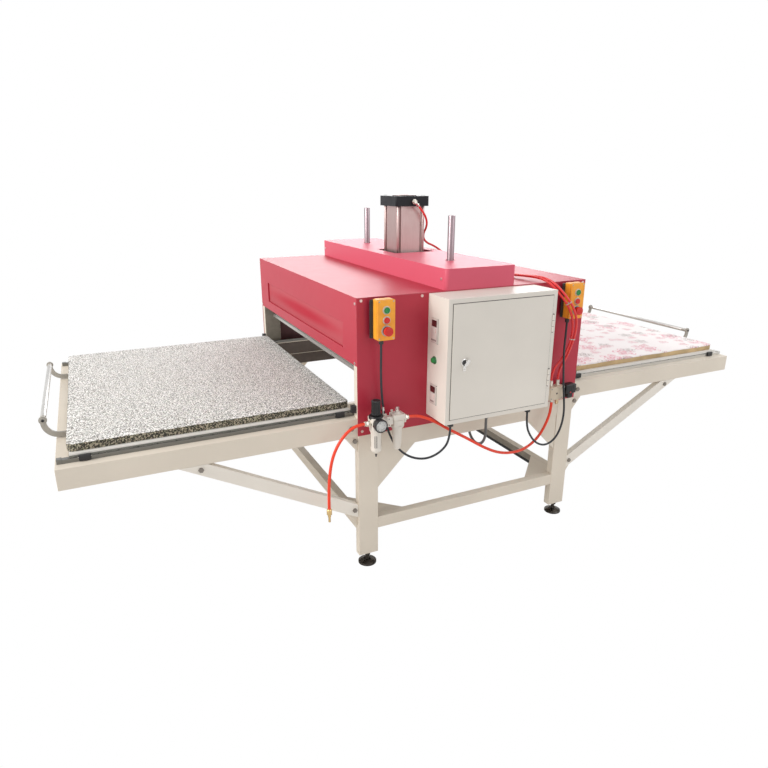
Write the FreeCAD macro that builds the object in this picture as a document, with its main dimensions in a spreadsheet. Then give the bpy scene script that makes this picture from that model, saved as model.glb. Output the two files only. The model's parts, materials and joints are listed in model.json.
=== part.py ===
# Dual station heat press: a steel portal with an air cylinder that lowers a large heated platen,
# and a table on rails at each side that slides under it in turn.
# Sizes in millimetres. X runs along the travel of the tables, the front with the control box
# faces -Y, and Z is up. Pieces are placed from the middle of the portal, on the floor. Each finished
# sub-part is then set back so that the origin is under the middle of the whole machine, box included.
import FreeCAD, Part
import math
import os
import re
import Sketcher
from FreeCAD import Placement, Rotation, Vector

# Driving dimensions: alias, value, meaning

SIZES = [
    ("frame_wide", 1080, "over the side covers, along X"),
    ("frame_deep", 1350, "over the front and back covers, along Y"),
    ("cover_sheet", 2, "thickness of the red cover sheets"),
    ("tube_wall", 3, "wall of every frame tube"),
    ("leg_wide", 85, "leg tube along X"),
    ("leg_deep", 35, "leg tube along Y, and the depth of the tubes in line with the legs"),
    ("leg_base", 48, "floor to the underside of a leg"),
    ("base_plate", 8, "plate that closes the foot of a leg"),
    ("stretcher_base", 160, "floor to the underside of the lower stretchers"),
    ("stretcher_high", 50, "height of the lower stretchers"),
    ("upper_rail_base", 514, "floor to the underside of the upper rails"),
    ("upper_rail_high", 75, "height of the upper rails"),
    ("floor_gusset", 180, "short side of the flat corner plates on the lower stretchers"),
    ("strut_gusset", 170, "short side of the upright corner plates under the upper rails"),
    ("gusset_plate", 6, "thickness of the corner plates"),
    ("beam_top", 658, "floor to the top of the beams that carry the linear rails"),
    ("beam_high", 75, "height of these beams"),
    ("beam_deep", 60, "width of the wing beams along Y"),
    ("beam_inset", 7, "front cover face to the front face of a wing beam"),
    ("bay_beam_deep", 34, "width of the beams behind the legs"),
    ("wing_reach", 1042, "how far a wing stands out past the housing"),
    ("wing_end_wide", 40, "width of the tube across the end of a wing"),
    ("brace_reach", 573, "leg to the near edge of the brace under the beam"),
    ("brace_end", 100, "length of the brace's cut under the beam"),
    ("brace_foot", 226, "floor to the lower edge of the brace at the leg"),
    ("brace_cut", 59, "height of the brace's cut at the leg"),
    ("brace_deep", 30, "width of the brace along Y"),
    ("bracket_wide", 52, "beam bracket along X"),
    ("bracket_high", 66, "beam bracket along Z"),
    ("heel_wide", 48, "heel plate under the brace, along X"),
    ("heel_high", 47, "heel plate under the brace, along Z"),
    ("bolt_across", 17, "frame bolt heads, across flats"),
    ("bolt_head_high", 7, "height of a frame bolt head"),
    ("foot_disc", 76, "diameter of a levelling foot"),
    ("foot_edge", 7, "edge height of a levelling foot"),
    ("foot_crown", 16, "height of a levelling foot at its stud"),
    ("stud_size", 16, "diameter of the levelling stud"),
    ("stud_long", 92, "top of the levelling stud above the floor"),
    ("nut_across", 24, "lock nut across flats"),
    ("nut_high", 10, "height of the lock nut"),
    ("slide_gap", 0.4, "clearance between pieces that slide past each other"),
    ("fit_gap", 0.05, "radial clearance of shafts in their bores"),
    ("linear_wide", 20, "width of a linear rail"),
    ("linear_high", 14, "height of a linear rail"),
    ("linear_set", 57, "front cover to the middle of a linear rail"),
    ("linear_inset", 22, "wing end to the end of a linear rail"),
    ("stop_long", 16, "rail end stop along X"),
    ("carriage_long", 34, "carriage along the rail"),
    ("carriage_wide", 34, "carriage across the rail"),
    ("carriage_lift", 2.5, "beam top to the underside of a carriage"),
    ("carriage_inset", 46, "tray end to the middle of a carriage"),
    ("tray_plate", 3, "thickness of the tray sheet"),
    ("tray_short", 12, "how much shorter a tray is than its pad, along X"),
    ("tray_over", 14, "how much deeper a tray is than its pair of rails"),
    ("tray_rim_up", 4, "rim above the tray plate"),
    ("tray_rim_down", 5, "rim below the tray plate"),
    ("pad_long", 1000, "pad along X"),
    ("pad_margin", 25, "tray edge to pad edge, along Y"),
    ("pad_thick", 27, "thickness of a pad"),
    ("pad_lift", 25, "beam top to the underside of a pad"),
    ("pad_corner", 22, "corner radius of a pad"),
    ("table_inset", 39, "wing end to the outer edge of a table that is out"),
    ("grip_size", 18, "diameter of the handle tube"),
    ("grip_lift", 21, "top of a pad to the handle tube"),
    ("grip_out", 71, "pad edge to the handle tube"),
    ("arm_line", 380, "middle of the machine to a handle arm"),
    ("arm_thick", 8, "thickness of a handle arm"),
    ("arm_wide", 19, "width of a handle arm"),
    ("arm_bend", 50, "bend radius of a handle arm"),
    ("arm_under", 46, "length of a handle arm under the tray"),
    ("sensor_wide", 18, "table sensor along X"),
    ("sensor_deep", 20, "table sensor along Y"),
    ("sensor_high", 29, "table sensor along Z"),
    ("housing_top", 1128, "floor to the top of the housing"),
    ("cover_lap", 2, "how far the front and back covers lap over the upper rails"),
    ("side_cover_high", 258, "height of the side covers"),
    ("recess_depth", 8, "depth of the panel pressed into a side cover"),
    ("recess_margin", 280, "how much shorter this panel is than the housing"),
    ("recess_lift", 44, "lower edge of a side cover to this panel"),
    ("recess_high", 101, "height of this panel"),
    ("riser_wide", 329, "raised cover along X"),
    ("riser_high", 83, "raised cover above the housing"),
    ("riser_corner", 14, "corner radius of the raised cover"),
    ("opening_deep", 200, "hole in the raised cover for the cylinder, along Y"),
    ("opening_left", 96, "this hole, from the middle to the left"),
    ("opening_right", 116, "this hole, from the middle to the right"),
    ("rod_hole", 44, "holes in the raised cover for the guide rods"),
    ("screw_head", 11, "cover screw head"),
    ("screw_head_high", 3, "height of a cover screw head"),
    ("top_tube_high", 60, "height of the tubes round the top of the portal"),
    ("cross_tube_wide", 50, "width of the two crosshead tubes"),
    ("cross_tube_high", 58, "height of the two crosshead tubes"),
    ("cross_tube_out", 158, "middle of the machine to the outside of a crosshead tube"),
    ("press_plate", 20, "thickness of the plates between the crosshead tubes"),
    ("cylinder_plate_long", 260, "cylinder plate along Y"),
    ("bushing_plate_long", 120, "bushing plate along Y"),
    ("bushing_size", 58, "outside diameter of a guide bushing"),
    ("bushing_flange", 92, "flange of a guide bushing"),
    ("flange_thick", 12, "thickness of this flange"),
    ("bushing_up", 42, "bushing above its plate"),
    ("bushing_down", 26, "bushing below its plate"),
    ("guide_rod", 30, "diameter of a guide rod"),
    ("rod_line", 434, "middle of the machine to a guide rod, along Y"),
    ("rod_rise", 184, "raised cover to the top of a guide rod, platen up"),
    ("end_cap_wide", 174, "side of the square cylinder ends"),
    ("end_cap_high", 45, "height of the cylinder ends"),
    ("end_cap_corner", 8, "corner radius of the cylinder ends"),
    ("barrel_wide", 134, "side of the square cylinder barrel"),
    ("barrel_bore", 116, "bore of the barrel"),
    ("barrel_high", 229, "height of the barrel"),
    ("barrel_notch", 17, "side of the notch for a tie rod"),
    ("tie_rod", 14, "diameter of a tie rod"),
    ("tie_rod_line", 66, "middle of the barrel to a tie rod"),
    ("cap_ring", 112, "raised ring on the cylinder cap"),
    ("cap_ring_high", 3, "height of this ring"),
    ("piston_rod", 40, "diameter of the piston rod"),
    ("piston_high", 40, "height of the piston"),
    ("press_clearance", 2, "platen face to a pad at the end of the stroke"),
    ("platen_thick", 16, "heated aluminium platen"),
    ("insulation_thick", 42, "insulation over the platen"),
    ("insulation_inset", 9, "platen edge to the insulation"),
    ("strongback_high", 74, "height of the welded grid over the insulation"),
    ("strongback_bar", 50, "width of its bars"),
    ("grid_short_x", 240, "how much shorter the grid is than a pad, along X"),
    ("grid_short_y", 160, "how much shorter the grid is than a pad, along Y"),
    ("press_stroke", 102, "travel of the platen"),
    ("box_wide", 500, "control box along X"),
    ("box_deep", 148, "control box along Y, without its door"),
    ("box_high", 490, "control box along Z"),
    ("box_drop", 4, "top of the housing to the top of the control box"),
    ("box_shift", 12, "middle of the machine to the middle of the control box"),
    ("box_wall", 2, "sheet of the control box"),
    ("door_margin", 20, "box edge to door edge"),
    ("door_thick", 3, "control box door"),
    ("door_lap", 6, "how far the door laps over its opening"),
    ("hinge_size", 9, "diameter of a hinge barrel"),
    ("hinge_long", 70, "length of a hinge barrel"),
    ("hinge_margin", 112, "door edge to the middle of a hinge"),
    ("lock_size", 22, "diameter of the door lock"),
    ("lock_inset", 55, "door edge to the lock"),
    ("lock_cam", 58, "reach of the lock's cam"),
    ("panel_wide", 48, "instruments along Y"),
    ("panel_high", 96, "temperature controller along Z"),
    ("panel_bezel", 4, "bezel of the instruments"),
    ("panel_body", 58, "depth of the instruments inside the box"),
    ("panel_line", 93, "middle of the instruments behind the front of the box"),
    ("controller_up", 355, "box base to the middle of the temperature controller"),
    ("power_button_up", 239, "box base to the middle of the power button"),
    ("timer_up", 100, "box base to the middle of the timer"),
    ("timer_high", 80, "timer along Z"),
    ("switch_wide", 70, "switch box along X"),
    ("switch_high", 150, "switch box along Z"),
    ("switch_deep", 40, "switch box along Y"),
    ("switch_spacer", 20, "dark plate and spacer behind a switch box"),
    ("switch_inset", 93, "side of the housing to the middle of a switch box"),
    ("switch_drop", 3, "top of the housing to the top of a switch box"),
    ("switch_corner", 5, "edge radius of a switch box"),
    ("start_up", 112, "switch box base to the start button"),
    ("stop_up", 75, "switch box base to the stop button"),
    ("estop_up", 36, "switch box base to the emergency stop"),
    ("button_size", 22, "diameter of a push button"),
    ("bezel_size", 29, "diameter of a button's bezel"),
    ("bezel_high", 4, "height of a button's bezel"),
    ("button_proud", 7, "button above the face of its box"),
    ("button_inside", 12, "button below the face of its box"),
    ("button_travel", 4, "travel of a button"),
    ("mushroom_size", 34, "head of the emergency stop"),
    ("mushroom_high", 12, "height of this head"),
    ("mushroom_proud", 23, "top of this head above the face of its box"),
    ("stem_size", 16, "stem of the emergency stop"),
    ("frl_stand", 60, "front cover to the middle of the air units"),
    ("regulator_inset", 50, "side of the housing to the filter regulator"),
    ("unit_pitch", 90, "filter regulator to lubricator"),
    ("port_lift", 73, "lower edge of the front cover to the air ports"),
    ("unit_wide", 50, "body of an air unit"),
    ("unit_high", 56, "height of this body"),
    ("filter_bowl", 44, "filter bowl diameter"),
    ("oil_bowl", 38, "lubricator bowl diameter"),
    ("bowl_high", 100, "height of the bowls"),
    ("knob_size", 40, "regulator knob diameter"),
    ("knob_high", 60, "regulator knob height"),
    ("dome_size", 20, "sight dome of the lubricator"),
    ("gauge_size", 50, "pressure gauge diameter"),
    ("gauge_deep", 25, "depth of the pressure gauge"),
    ("dial_depth", 7, "gauge rim to its dial"),
    ("needle_long", 17, "pointer of the gauge"),
    ("valve_inset", 198, "side of the housing to the far end of the air valve"),
    ("valve_long", 86, "valve body along X"),
    ("valve_deep", 38, "valve body along Y"),
    ("valve_high", 60, "valve body along Z"),
    ("valve_lift", 29, "lower edge of the front cover to the valve body"),
    ("coil_wide", 56, "valve coil along X"),
    ("coil_high", 42, "valve coil along Z"),
    ("fitting_size", 20, "push-in fittings"),
    ("elbow_reach", 26, "outlet of the elbow on the cylinder cap"),
    ("air_hose", 12, "outside diameter of the supply and valve hoses"),
    ("cylinder_hose", 10, "outside diameter of the cylinder hoses"),
    ("switch_cable", 9, "diameter of the switch cables"),
    ("conduit_size", 12, "diameter of the heater conduit"),
    ("gland_size", 24, "cable gland diameter"),
    ("gland_high", 30, "cable gland length"),
    ("plug_long", 56, "length of the air plug"),
    ("gland_stand", 95, "front cover to the switch cable glands"),
    ("conduit_stand", 75, "front cover to the conduit gland"),
    ("exit_stand", 37, "front cover to the cable exits of the switch boxes"),
    ("exit_outward", 11, "switch box middle to its cable exit, left box"),
    ("exit_inward", 23, "switch box middle to its cable exit, right box"),
    ("left_gland_inset", 192, "middle of the control box to the left gland"),
    ("right_gland_inset", 188, "middle of the control box to the right gland"),
    ("conduit_inset", 7, "middle of the control box to the conduit gland"),
]
size = {alias: value for alias, value, meaning in SIZES}

doc = FreeCAD.newDocument("dual_station_heat_press")
sheet = doc.addObject("Spreadsheet::Sheet", "Sizes")
for row, (alias, value, meaning) in enumerate(SIZES, 1):
    sheet.set(f"A{row}", meaning)
    sheet.set(f"B{row}", str(value))
    sheet.setAlias(f"B{row}", alias)
doc.recompute()

# Sizes that follow from others

DERIVED = {
    "pad_base": "beam_top + pad_lift",
    "platen_base": "pad_base + pad_thick + press_stroke + press_clearance",
    "sensor_base": "pad_base - tray_plate",
    "grip_high": "pad_base + pad_thick + grip_lift",
    "linear_reach": "frame_wide / 2 + wing_reach - linear_inset",
    "table_rest": "frame_wide / 2 + wing_reach - table_inset - pad_long / 2",
    "switch_line": "frame_wide / 2 - switch_inset",
    "regulator_line": "frame_wide / 2 - regulator_inset",
    "lubricator_line": "regulator_line - unit_pitch",
    "valve_left": "frame_wide / 2 - valve_inset",
    "front_cover_base": "upper_rail_base + upper_rail_high - cover_lap",
    "port_high": "front_cover_base + port_lift",
    "valve_base": "front_cover_base + valve_lift",
    "box_base": "housing_top - box_drop - box_high",
    "switch_base": "housing_top - switch_drop - switch_high",
    "side_cover_base": "housing_top - cover_sheet - side_cover_high",
    "recess_base": "side_cover_base + recess_lift",
    "barrel_top": "housing_top - cover_sheet + press_plate + end_cap_high + barrel_high",
    "rod_top": "housing_top + riser_high + rod_rise",
    "frl_line": "frame_deep / 2 + frl_stand",
    "linear_line": "frame_deep / 2 - linear_set",
    "tray_deep": "2 * linear_line + tray_over",
    "pad_deep": "tray_deep - 2 * pad_margin",
    "recess_long": "frame_deep - recess_margin",
    "tray_long": "pad_long - tray_short",
    "strongback_wide": "pad_long - grid_short_x",
    "strongback_deep": "pad_deep - grid_short_y",
}

# Formulas that several pieces share

HALF_WIDE = "(frame_wide / 2 - cover_sheet)"
HALF_DEEP = "(frame_deep / 2 - cover_sheet)"
FRAME_FACE = "(frame_deep / 2)"
FRAME_SIDE = "(frame_wide / 2)"
LEG_INNER = f"({HALF_WIDE} - leg_wide)"
LEG_BACK = f"({HALF_DEEP} - leg_deep)"
STRETCHER_TOP = "(stretcher_base + stretcher_high)"
BEAM_BASE = "(beam_top - beam_high)"
BEAM_FACE = f"({FRAME_FACE} - beam_inset)"
BEAM_BACK = f"({BEAM_FACE} - beam_deep)"
WING_END = f"({FRAME_SIDE} + wing_reach)"
BRACE_SLOPE = f"(({BEAM_BASE} - brace_foot) / (brace_reach + brace_end))"
TOP_TUBE_BASE = "(housing_top - cover_sheet - top_tube_high)"
CROSS_BASE = "(housing_top - cover_sheet)"
PLATE_TOP = f"({CROSS_BASE} + press_plate)"
RISER_TOP = "(housing_top + riser_high)"
PAD_OUT = "(table_rest + pad_long / 2)"
TRAY_OUT = "(table_rest + tray_long / 2)"
TRAY_IN = "(table_rest - tray_long / 2)"
LINEAR_TOP = "(beam_top + linear_high)"
PLATEN_TOP = "(platen_base + platen_thick)"
INSULATION_TOP = f"({PLATEN_TOP} + insulation_thick)"
STRONGBACK_TOP = f"({INSULATION_TOP} + strongback_high)"
BARREL_BASE = f"({PLATE_TOP} + end_cap_high)"
BOX_LEFT = "(box_shift - box_wide / 2)"
BOX_RIGHT = "(box_shift + box_wide / 2)"
BOX_FACE = f"({FRAME_FACE} + box_deep)"
SWITCH_FACE = f"({FRAME_FACE} + switch_spacer + switch_deep)"
PANEL_MIDDLE = f"({BOX_FACE} - panel_line)"
ARM_LEVEL = "(pad_base - tray_plate - arm_wide / 2)"
GRIP_LINE = f"({PAD_OUT} + grip_out)"
VALVE_BACK = "(frl_line - valve_deep)"

FRONT_REACH = f"({BOX_FACE} + slide_gap * 2 + door_thick * 5)"
BACK_REACH = f"({HALF_DEEP} - leg_deep / 2 + foot_disc / 2)"
SET_BACK = f"({FRONT_REACH} - {BACK_REACH}) / 2"

WORD = re.compile(r"[a-z][a-z_]+")
sub_parts = []


def spelled_out(formula):
    """A formula in the sheet's own cells, with each derived size written out."""
    def swap(match):
        word = match.group()
        if word in DERIVED:
            return f"({spelled_out(DERIVED[word])})"
        return "Sizes." + word if word in size else word
    return WORD.sub(swap, str(formula))


def number(formula):
    """The value of a formula in millimetres."""
    return float(sheet.evalExpression(spelled_out(formula)))


def bind(thing, prop, formula):
    """Set a property to a formula whose words are sizes."""
    thing.setExpression(prop, spelled_out(formula))


def place(thing, x="0", y="0", z="0"):
    """Put a piece at a point given by formulas."""
    for axis, formula in (("x", x), ("y", y), ("z", z)):
        bind(thing, "Placement.Base." + axis, formula)
    return thing


def span(side, near, far):
    """The formulas from near to far on one side of the middle, the lower one first."""
    if side > 0:
        return near, far
    return f"-({far})", f"-({near})"


def box(name, x, y, z):
    """A block between two formulas along each axis."""
    block = doc.addObject("Part::Box", name)
    for prop, (low, high) in (("Length", x), ("Width", y), ("Height", z)):
        bind(block, prop, f"({high}) - ({low})")
    return place(block, x[0], y[0], z[0])


TURNS = {
    "x": Rotation(Vector(0, 1, 0), 90),
    "y": Rotation(Vector(1, 0, 0), -90),
    "z": Rotation(),
    "down_right": Rotation(Vector(0, 1, 0), 135),
    "gauge_zero": Rotation(Vector(0, 1, 0), -135),
}


def rod(name, axis, radius, length, x="0", y="0", z="0"):
    """A cylinder that starts at a point and runs along an axis."""
    bar = doc.addObject("Part::Cylinder", name)
    bar.Placement = Placement(Vector(), TURNS[axis])
    bind(bar, "Radius", radius)
    bind(bar, "Height", length)
    return place(bar, x, y, z)


def hexagon(name, axis, across, length, x="0", y="0", z="0"):
    """A hexagonal prism that starts at a point and runs along an axis."""
    prism = doc.addObject("Part::Prism", name)
    prism.Polygon = 6
    prism.Placement = Placement(Vector(), TURNS[axis])
    bind(prism, "Circumradius", f"({across}) / sqrt(3)")
    bind(prism, "Height", length)
    return place(prism, x, y, z)


def group(name, *pieces):
    """Separate solids kept together."""
    bundle = doc.addObject("Part::Compound", name)
    bundle.Links = list(pieces)
    return bundle


def fuse(name, *pieces):
    """Pieces joined into one solid."""
    whole = doc.addObject("Part::MultiFuse", name)
    whole.Shapes = list(pieces)
    whole.Refine = True
    return whole


def cut(name, base, *tools):
    """A piece with others cut out of it."""
    result = doc.addObject("Part::Cut", name)
    result.Base = base
    result.Tool = tools[0] if len(tools) == 1 else group(name + "_tools", *tools)
    return result


def mirrored(name, source, axis):
    """A mirror copy across the middle plane square to an axis."""
    copy = doc.addObject("Part::Mirroring", name)
    copy.Source = source
    copy.Normal = {"x": (1, 0, 0), "y": (0, 1, 0)}[axis]
    return copy


def both_ends(source, axis):
    """A piece and its mirror copy."""
    return [source, mirrored(f"{source.Name}_{axis}", source, axis)]


def four_corners(source):
    """A piece and its copies in the other three quarters of the machine."""
    return [copy for half in both_ends(source, "x") for copy in both_ends(half, "y")]


def tube(name, axis, x, y, z, wall="tube_wall"):
    """A rectangular tube with open ends, along an axis."""
    spans = {"x": x, "y": y, "z": z}
    inside = {
        key: (low, high) if key == axis else (f"{low} + {wall}", f"{high} - {wall}")
        for key, (low, high) in spans.items()
    }
    outer = box(name + "_outer", x, y, z)
    inner = box(name + "_inner", inside["x"], inside["y"], inside["z"])
    return cut(name, outer, inner)


def plate(name, plane, points, thick, level):
    """A flat plate: an outline in the XY or XZ plane, given as formulas, padded both ways."""
    body = doc.addObject("PartDesign::Body", name)
    origin_plane = next(f for f in body.Origin.OriginFeatures if f.Role == plane + "_Plane")
    sketch = body.newObject("Sketcher::SketchObject", name + "_sketch")
    sketch.AttachmentSupport = [(origin_plane, "")]
    sketch.MapMode = "FlatFace"
    corners = [Vector(math.cos(k), math.sin(k), 0) for k in range(len(points))]
    for start, end in zip(corners, corners[1:] + corners[:1]):
        sketch.addGeometry(Part.LineSegment(start, end))
    last = len(points) - 1
    for k, (across, up) in enumerate(points):
        sketch.addConstraint(Sketcher.Constraint("Coincident", k - 1 if k else last, 2, k, 1))
        for kind, formula, value in (("DistanceX", across, corners[k].x), ("DistanceY", up, corners[k].y)):
            index = sketch.addConstraint(Sketcher.Constraint(kind, -1, 1, k, 1, value))
            bind(sketch, f"Constraints[{index}]", formula)
    pad = body.newObject("PartDesign::Pad", name + "_pad")
    pad.Profile = sketch
    pad.SideType = "Symmetric"
    bind(pad, "Length", thick)
    if plane == "XZ":
        return place(body, y=level)
    return place(body, z=level)


def turned(name, outline, x="0", y="0", z="0", axis="z"):
    """A turned piece: an outline of radius and height formulas, revolved about its own axis."""
    body = doc.addObject("PartDesign::Body", name)
    body.Placement = Placement(Vector(), TURNS[axis])
    origin_plane = next(f for f in body.Origin.OriginFeatures if f.Role == "XZ_Plane")
    sketch = body.newObject("Sketcher::SketchObject", name + "_sketch")
    sketch.AttachmentSupport = [(origin_plane, "")]
    sketch.MapMode = "FlatFace"
    corners = [Vector(2 + math.cos(k), math.sin(k), 0) for k in range(len(outline))]
    for start, end in zip(corners, corners[1:] + corners[:1]):
        sketch.addGeometry(Part.LineSegment(start, end))
    last = len(outline) - 1
    for k, (radius, height) in enumerate(outline):
        sketch.addConstraint(Sketcher.Constraint("Coincident", k - 1 if k else last, 2, k, 1))
        for kind, formula, value in (("DistanceX", radius, corners[k].x), ("DistanceY", height, corners[k].y)):
            index = sketch.addConstraint(Sketcher.Constraint(kind, -1, 1, k, 1, value))
            bind(sketch, f"Constraints[{index}]", formula)
    turn = body.newObject("PartDesign::Revolution", name + "_turn")
    turn.Profile = sketch
    turn.ReferenceAxis = (sketch, ["V_Axis"])
    turn.Angle = 360
    return place(body, x, y, z)


def rounded(name, source, radius, along, keep=None):
    """A piece whose straight edges along an axis are rounded."""
    doc.recompute()
    direction = {"x": Vector(1, 0, 0), "y": Vector(0, 1, 0), "z": Vector(0, 0, 1)}[along]
    edges = []
    for number, edge in enumerate(source.Shape.Edges, 1):
        if edge.Curve.TypeId != "Part::GeomLine":
            continue
        parallel = abs(abs(edge.tangentAt(edge.FirstParameter).dot(direction)) - 1) < 1e-6
        if parallel and (keep is None or keep(edge.CenterOfMass)):
            edges.append((number, radius, radius))
    result = doc.addObject("Part::Fillet", name)
    result.Base = source
    result.Edges = edges
    return result


def sub_part(label, *pieces):
    """Keep a piece, or a group of separate solids, as a named sub-part."""
    kept = place(group(label, *pieces), y=SET_BACK)
    kept.Label = label
    sub_parts.append(kept)
    return kept


# Portal frame

def make_legs():
    leg_top = TOP_TUBE_BASE
    outer = box(
        "leg_outer",
        span(-1, LEG_INNER, HALF_WIDE),
        span(-1, LEG_BACK, HALF_DEEP),
        ("leg_base", leg_top),
    )
    inner = box(
        "leg_inner",
        span(-1, f"{LEG_INNER} + tube_wall", f"{HALF_WIDE} - tube_wall"),
        span(-1, f"{LEG_BACK} + tube_wall", f"{HALF_DEEP} - tube_wall"),
        ("leg_base + base_plate", leg_top),
    )
    stud_hole = rod(
        "leg_stud_hole", "z", "stud_size / 2 + fit_gap", "base_plate",
        f"-({HALF_WIDE} - leg_wide / 2)", f"-({HALF_DEEP} - leg_deep / 2)", "leg_base",
    )
    return sub_part("legs", *four_corners(cut("leg", outer, inner, stud_hole)))


def make_frame_tubes():
    between_legs = (f"-{LEG_INNER}", LEG_INNER)
    leg_row = span(-1, LEG_BACK, HALF_DEEP)
    low = ("stretcher_base", STRETCHER_TOP)
    front_stretcher = tube("front_stretcher", "x", between_legs, leg_row, low)
    side_stretcher = tube(
        "side_stretcher", "y",
        span(-1, f"{HALF_WIDE} - leg_deep", HALF_WIDE),
        (f"-{LEG_BACK}", LEG_BACK),
        low,
    )
    upper_rail = tube(
        "upper_rail", "x", between_legs, leg_row,
        ("upper_rail_base", "upper_rail_base + upper_rail_high"),
    )
    bay_beam = tube(
        "bay_beam", "x",
        (f"-{HALF_WIDE}", HALF_WIDE),
        span(-1, f"{LEG_BACK} - bay_beam_deep", LEG_BACK),
        (BEAM_BASE, "beam_top"),
    )
    return sub_part(
        "frame_tubes",
        *both_ends(front_stretcher, "y"),
        *both_ends(side_stretcher, "x"),
        *both_ends(upper_rail, "y"),
        *both_ends(bay_beam, "y"),
    )


def make_gussets():
    corner_x = f"-({HALF_WIDE} - leg_deep)"
    floor_gusset = plate(
        "floor_gusset", "XY",
        [
            (corner_x, f"-{LEG_BACK}"),
            (f"{corner_x} + floor_gusset", f"-{LEG_BACK}"),
            (corner_x, f"-{LEG_BACK} + floor_gusset"),
        ],
        "gusset_plate", f"{STRETCHER_TOP} - gusset_plate / 2",
    )
    strut_gusset = plate(
        "strut_gusset", "XZ",
        [
            (f"-{LEG_INNER}", "upper_rail_base"),
            (f"-{LEG_INNER}", "upper_rail_base - strut_gusset"),
            (f"-{LEG_INNER} + strut_gusset", "upper_rail_base"),
        ],
        "gusset_plate", f"-({HALF_DEEP} - gusset_plate)",
    )
    beam_bracket = plate(
        "beam_bracket", "XZ",
        [
            (f"-{HALF_WIDE}", BEAM_BASE),
            (f"-{HALF_WIDE} - bracket_wide", BEAM_BASE),
            (f"-{HALF_WIDE}", f"{BEAM_BASE} - bracket_high"),
        ],
        "brace_deep", f"-({BEAM_FACE} - brace_deep / 2)",
    )
    heel_plate = plate(
        "heel_plate", "XZ",
        [
            (f"-{HALF_WIDE}", "brace_foot"),
            (f"-{HALF_WIDE} - heel_wide", f"brace_foot + heel_wide * {BRACE_SLOPE}"),
            (f"-{HALF_WIDE}", "brace_foot - heel_high"),
        ],
        "gusset_plate", f"-({BEAM_FACE} - brace_deep / 2)",
    )
    gussets = [floor_gusset, strut_gusset, beam_bracket, heel_plate]
    return sub_part("frame_gussets", *[copy for one in gussets for copy in four_corners(one)])


def make_wing_frames():
    beam = tube(
        "wing_beam", "x",
        span(-1, HALF_WIDE, WING_END),
        span(-1, BEAM_BACK, BEAM_FACE),
        (BEAM_BASE, "beam_top"),
    )
    beam_end = box(
        "wing_beam_end",
        span(-1, f"{WING_END} - tube_wall", WING_END),
        span(-1, f"{BEAM_BACK} + tube_wall", f"{BEAM_FACE} - tube_wall"),
        (f"{BEAM_BASE} + tube_wall", "beam_top - tube_wall"),
    )
    end_tube = tube(
        "wing_end_tube", "y",
        span(-1, f"{WING_END} - wing_end_wide", WING_END),
        (f"-{BEAM_BACK}", BEAM_BACK),
        (BEAM_BASE, "beam_top"),
    )
    closed_beam = fuse("closed_wing_beam", beam, beam_end)
    return sub_part("wing_frames", *four_corners(closed_beam), *both_ends(end_tube, "x"))


def make_braces():
    leg = f"-{HALF_WIDE}"
    near = f"{leg} - brace_reach"
    outer = plate(
        "brace_outer", "XZ",
        [
            (f"{near} - brace_end", BEAM_BASE),
            (leg, "brace_foot"),
            (leg, "brace_foot + brace_cut"),
            (near, BEAM_BASE),
        ],
        "brace_deep", f"-({BEAM_FACE} - brace_deep / 2)",
    )
    inner = plate(
        "brace_inner", "XZ",
        [
            (f"{near} - brace_end + tube_wall * 2.2", BEAM_BASE),
            (leg, "brace_foot + tube_wall * 1.13"),
            (leg, "brace_foot + brace_cut - tube_wall * 1.13"),
            (f"{near} - tube_wall * 2.2", BEAM_BASE),
        ],
        "brace_deep - tube_wall * 2", f"-({BEAM_FACE} - brace_deep / 2)",
    )
    return sub_part("wing_braces", *four_corners(cut("brace", outer, inner)))


def make_frame_bolts():
    """Hex head bolts, seen on the faces of the braces, beams and upper rails."""
    face = f"-({BEAM_FACE} + bolt_head_high)"
    spots = {
        "brace_top": (f"-({HALF_WIDE} + brace_reach + brace_end / 4)", f"{BEAM_BASE} - bolt_across", face),
        "brace_low": (f"-({HALF_WIDE} + bolt_across)", "brace_foot + brace_cut / 2 + bolt_across / 2", face),
        "bracket": (f"-({HALF_WIDE} + bracket_wide / 4)", f"{BEAM_BASE} - bracket_high / 4", face),
        "beam": (f"-({HALF_WIDE} + bracket_wide / 2)", "beam_top - beam_high / 2", face),
    }
    heads = []
    for name, (x, z, y) in spots.items():
        heads += four_corners(hexagon("bolt_" + name, "y", "bolt_across", "bolt_head_high", x, y, z))
    return sub_part("frame_bolts", *heads)


def make_feet():
    outline = [
        ("0", "0"),
        ("foot_disc / 2", "0"),
        ("foot_disc / 2", "foot_edge"),
        ("stud_size", "foot_crown"),
        ("stud_size / 2", "foot_crown"),
        ("stud_size / 2", "stud_long"),
        ("0", "stud_long"),
    ]
    for end, y_side in (("front", -1), ("back", 1)):
        for hand, x_side in (("left", -1), ("right", 1)):
            x = f"{x_side} * ({HALF_WIDE} - leg_wide / 2)"
            y = f"{y_side} * ({HALF_DEEP} - leg_deep / 2)"
            label = f"foot_{end}_{hand}"
            disc = turned(label + "_disc", outline, x, y)
            nut = hexagon(
                label + "_nut", "z", "nut_across", "nut_high",
                x, y, "leg_base - nut_high - slide_gap",
            )
            sub_part(label, fuse(label + "_whole", disc, nut))


def make_linear_rails():
    rail = box(
        "linear_rail",
        ("-linear_reach", "linear_reach"),
        span(-1, "linear_line - linear_wide / 2", "linear_line + linear_wide / 2"),
        ("beam_top", LINEAR_TOP),
    )
    stop = box(
        "rail_stop",
        span(-1, "linear_reach", "linear_reach + stop_long"),
        span(-1, "linear_line - linear_wide / 2", "linear_line + linear_wide / 2"),
        ("beam_top", f"{LINEAR_TOP} + carriage_lift"),
    )
    return sub_part("linear_rails", *both_ends(rail, "y"), *four_corners(stop))


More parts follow.
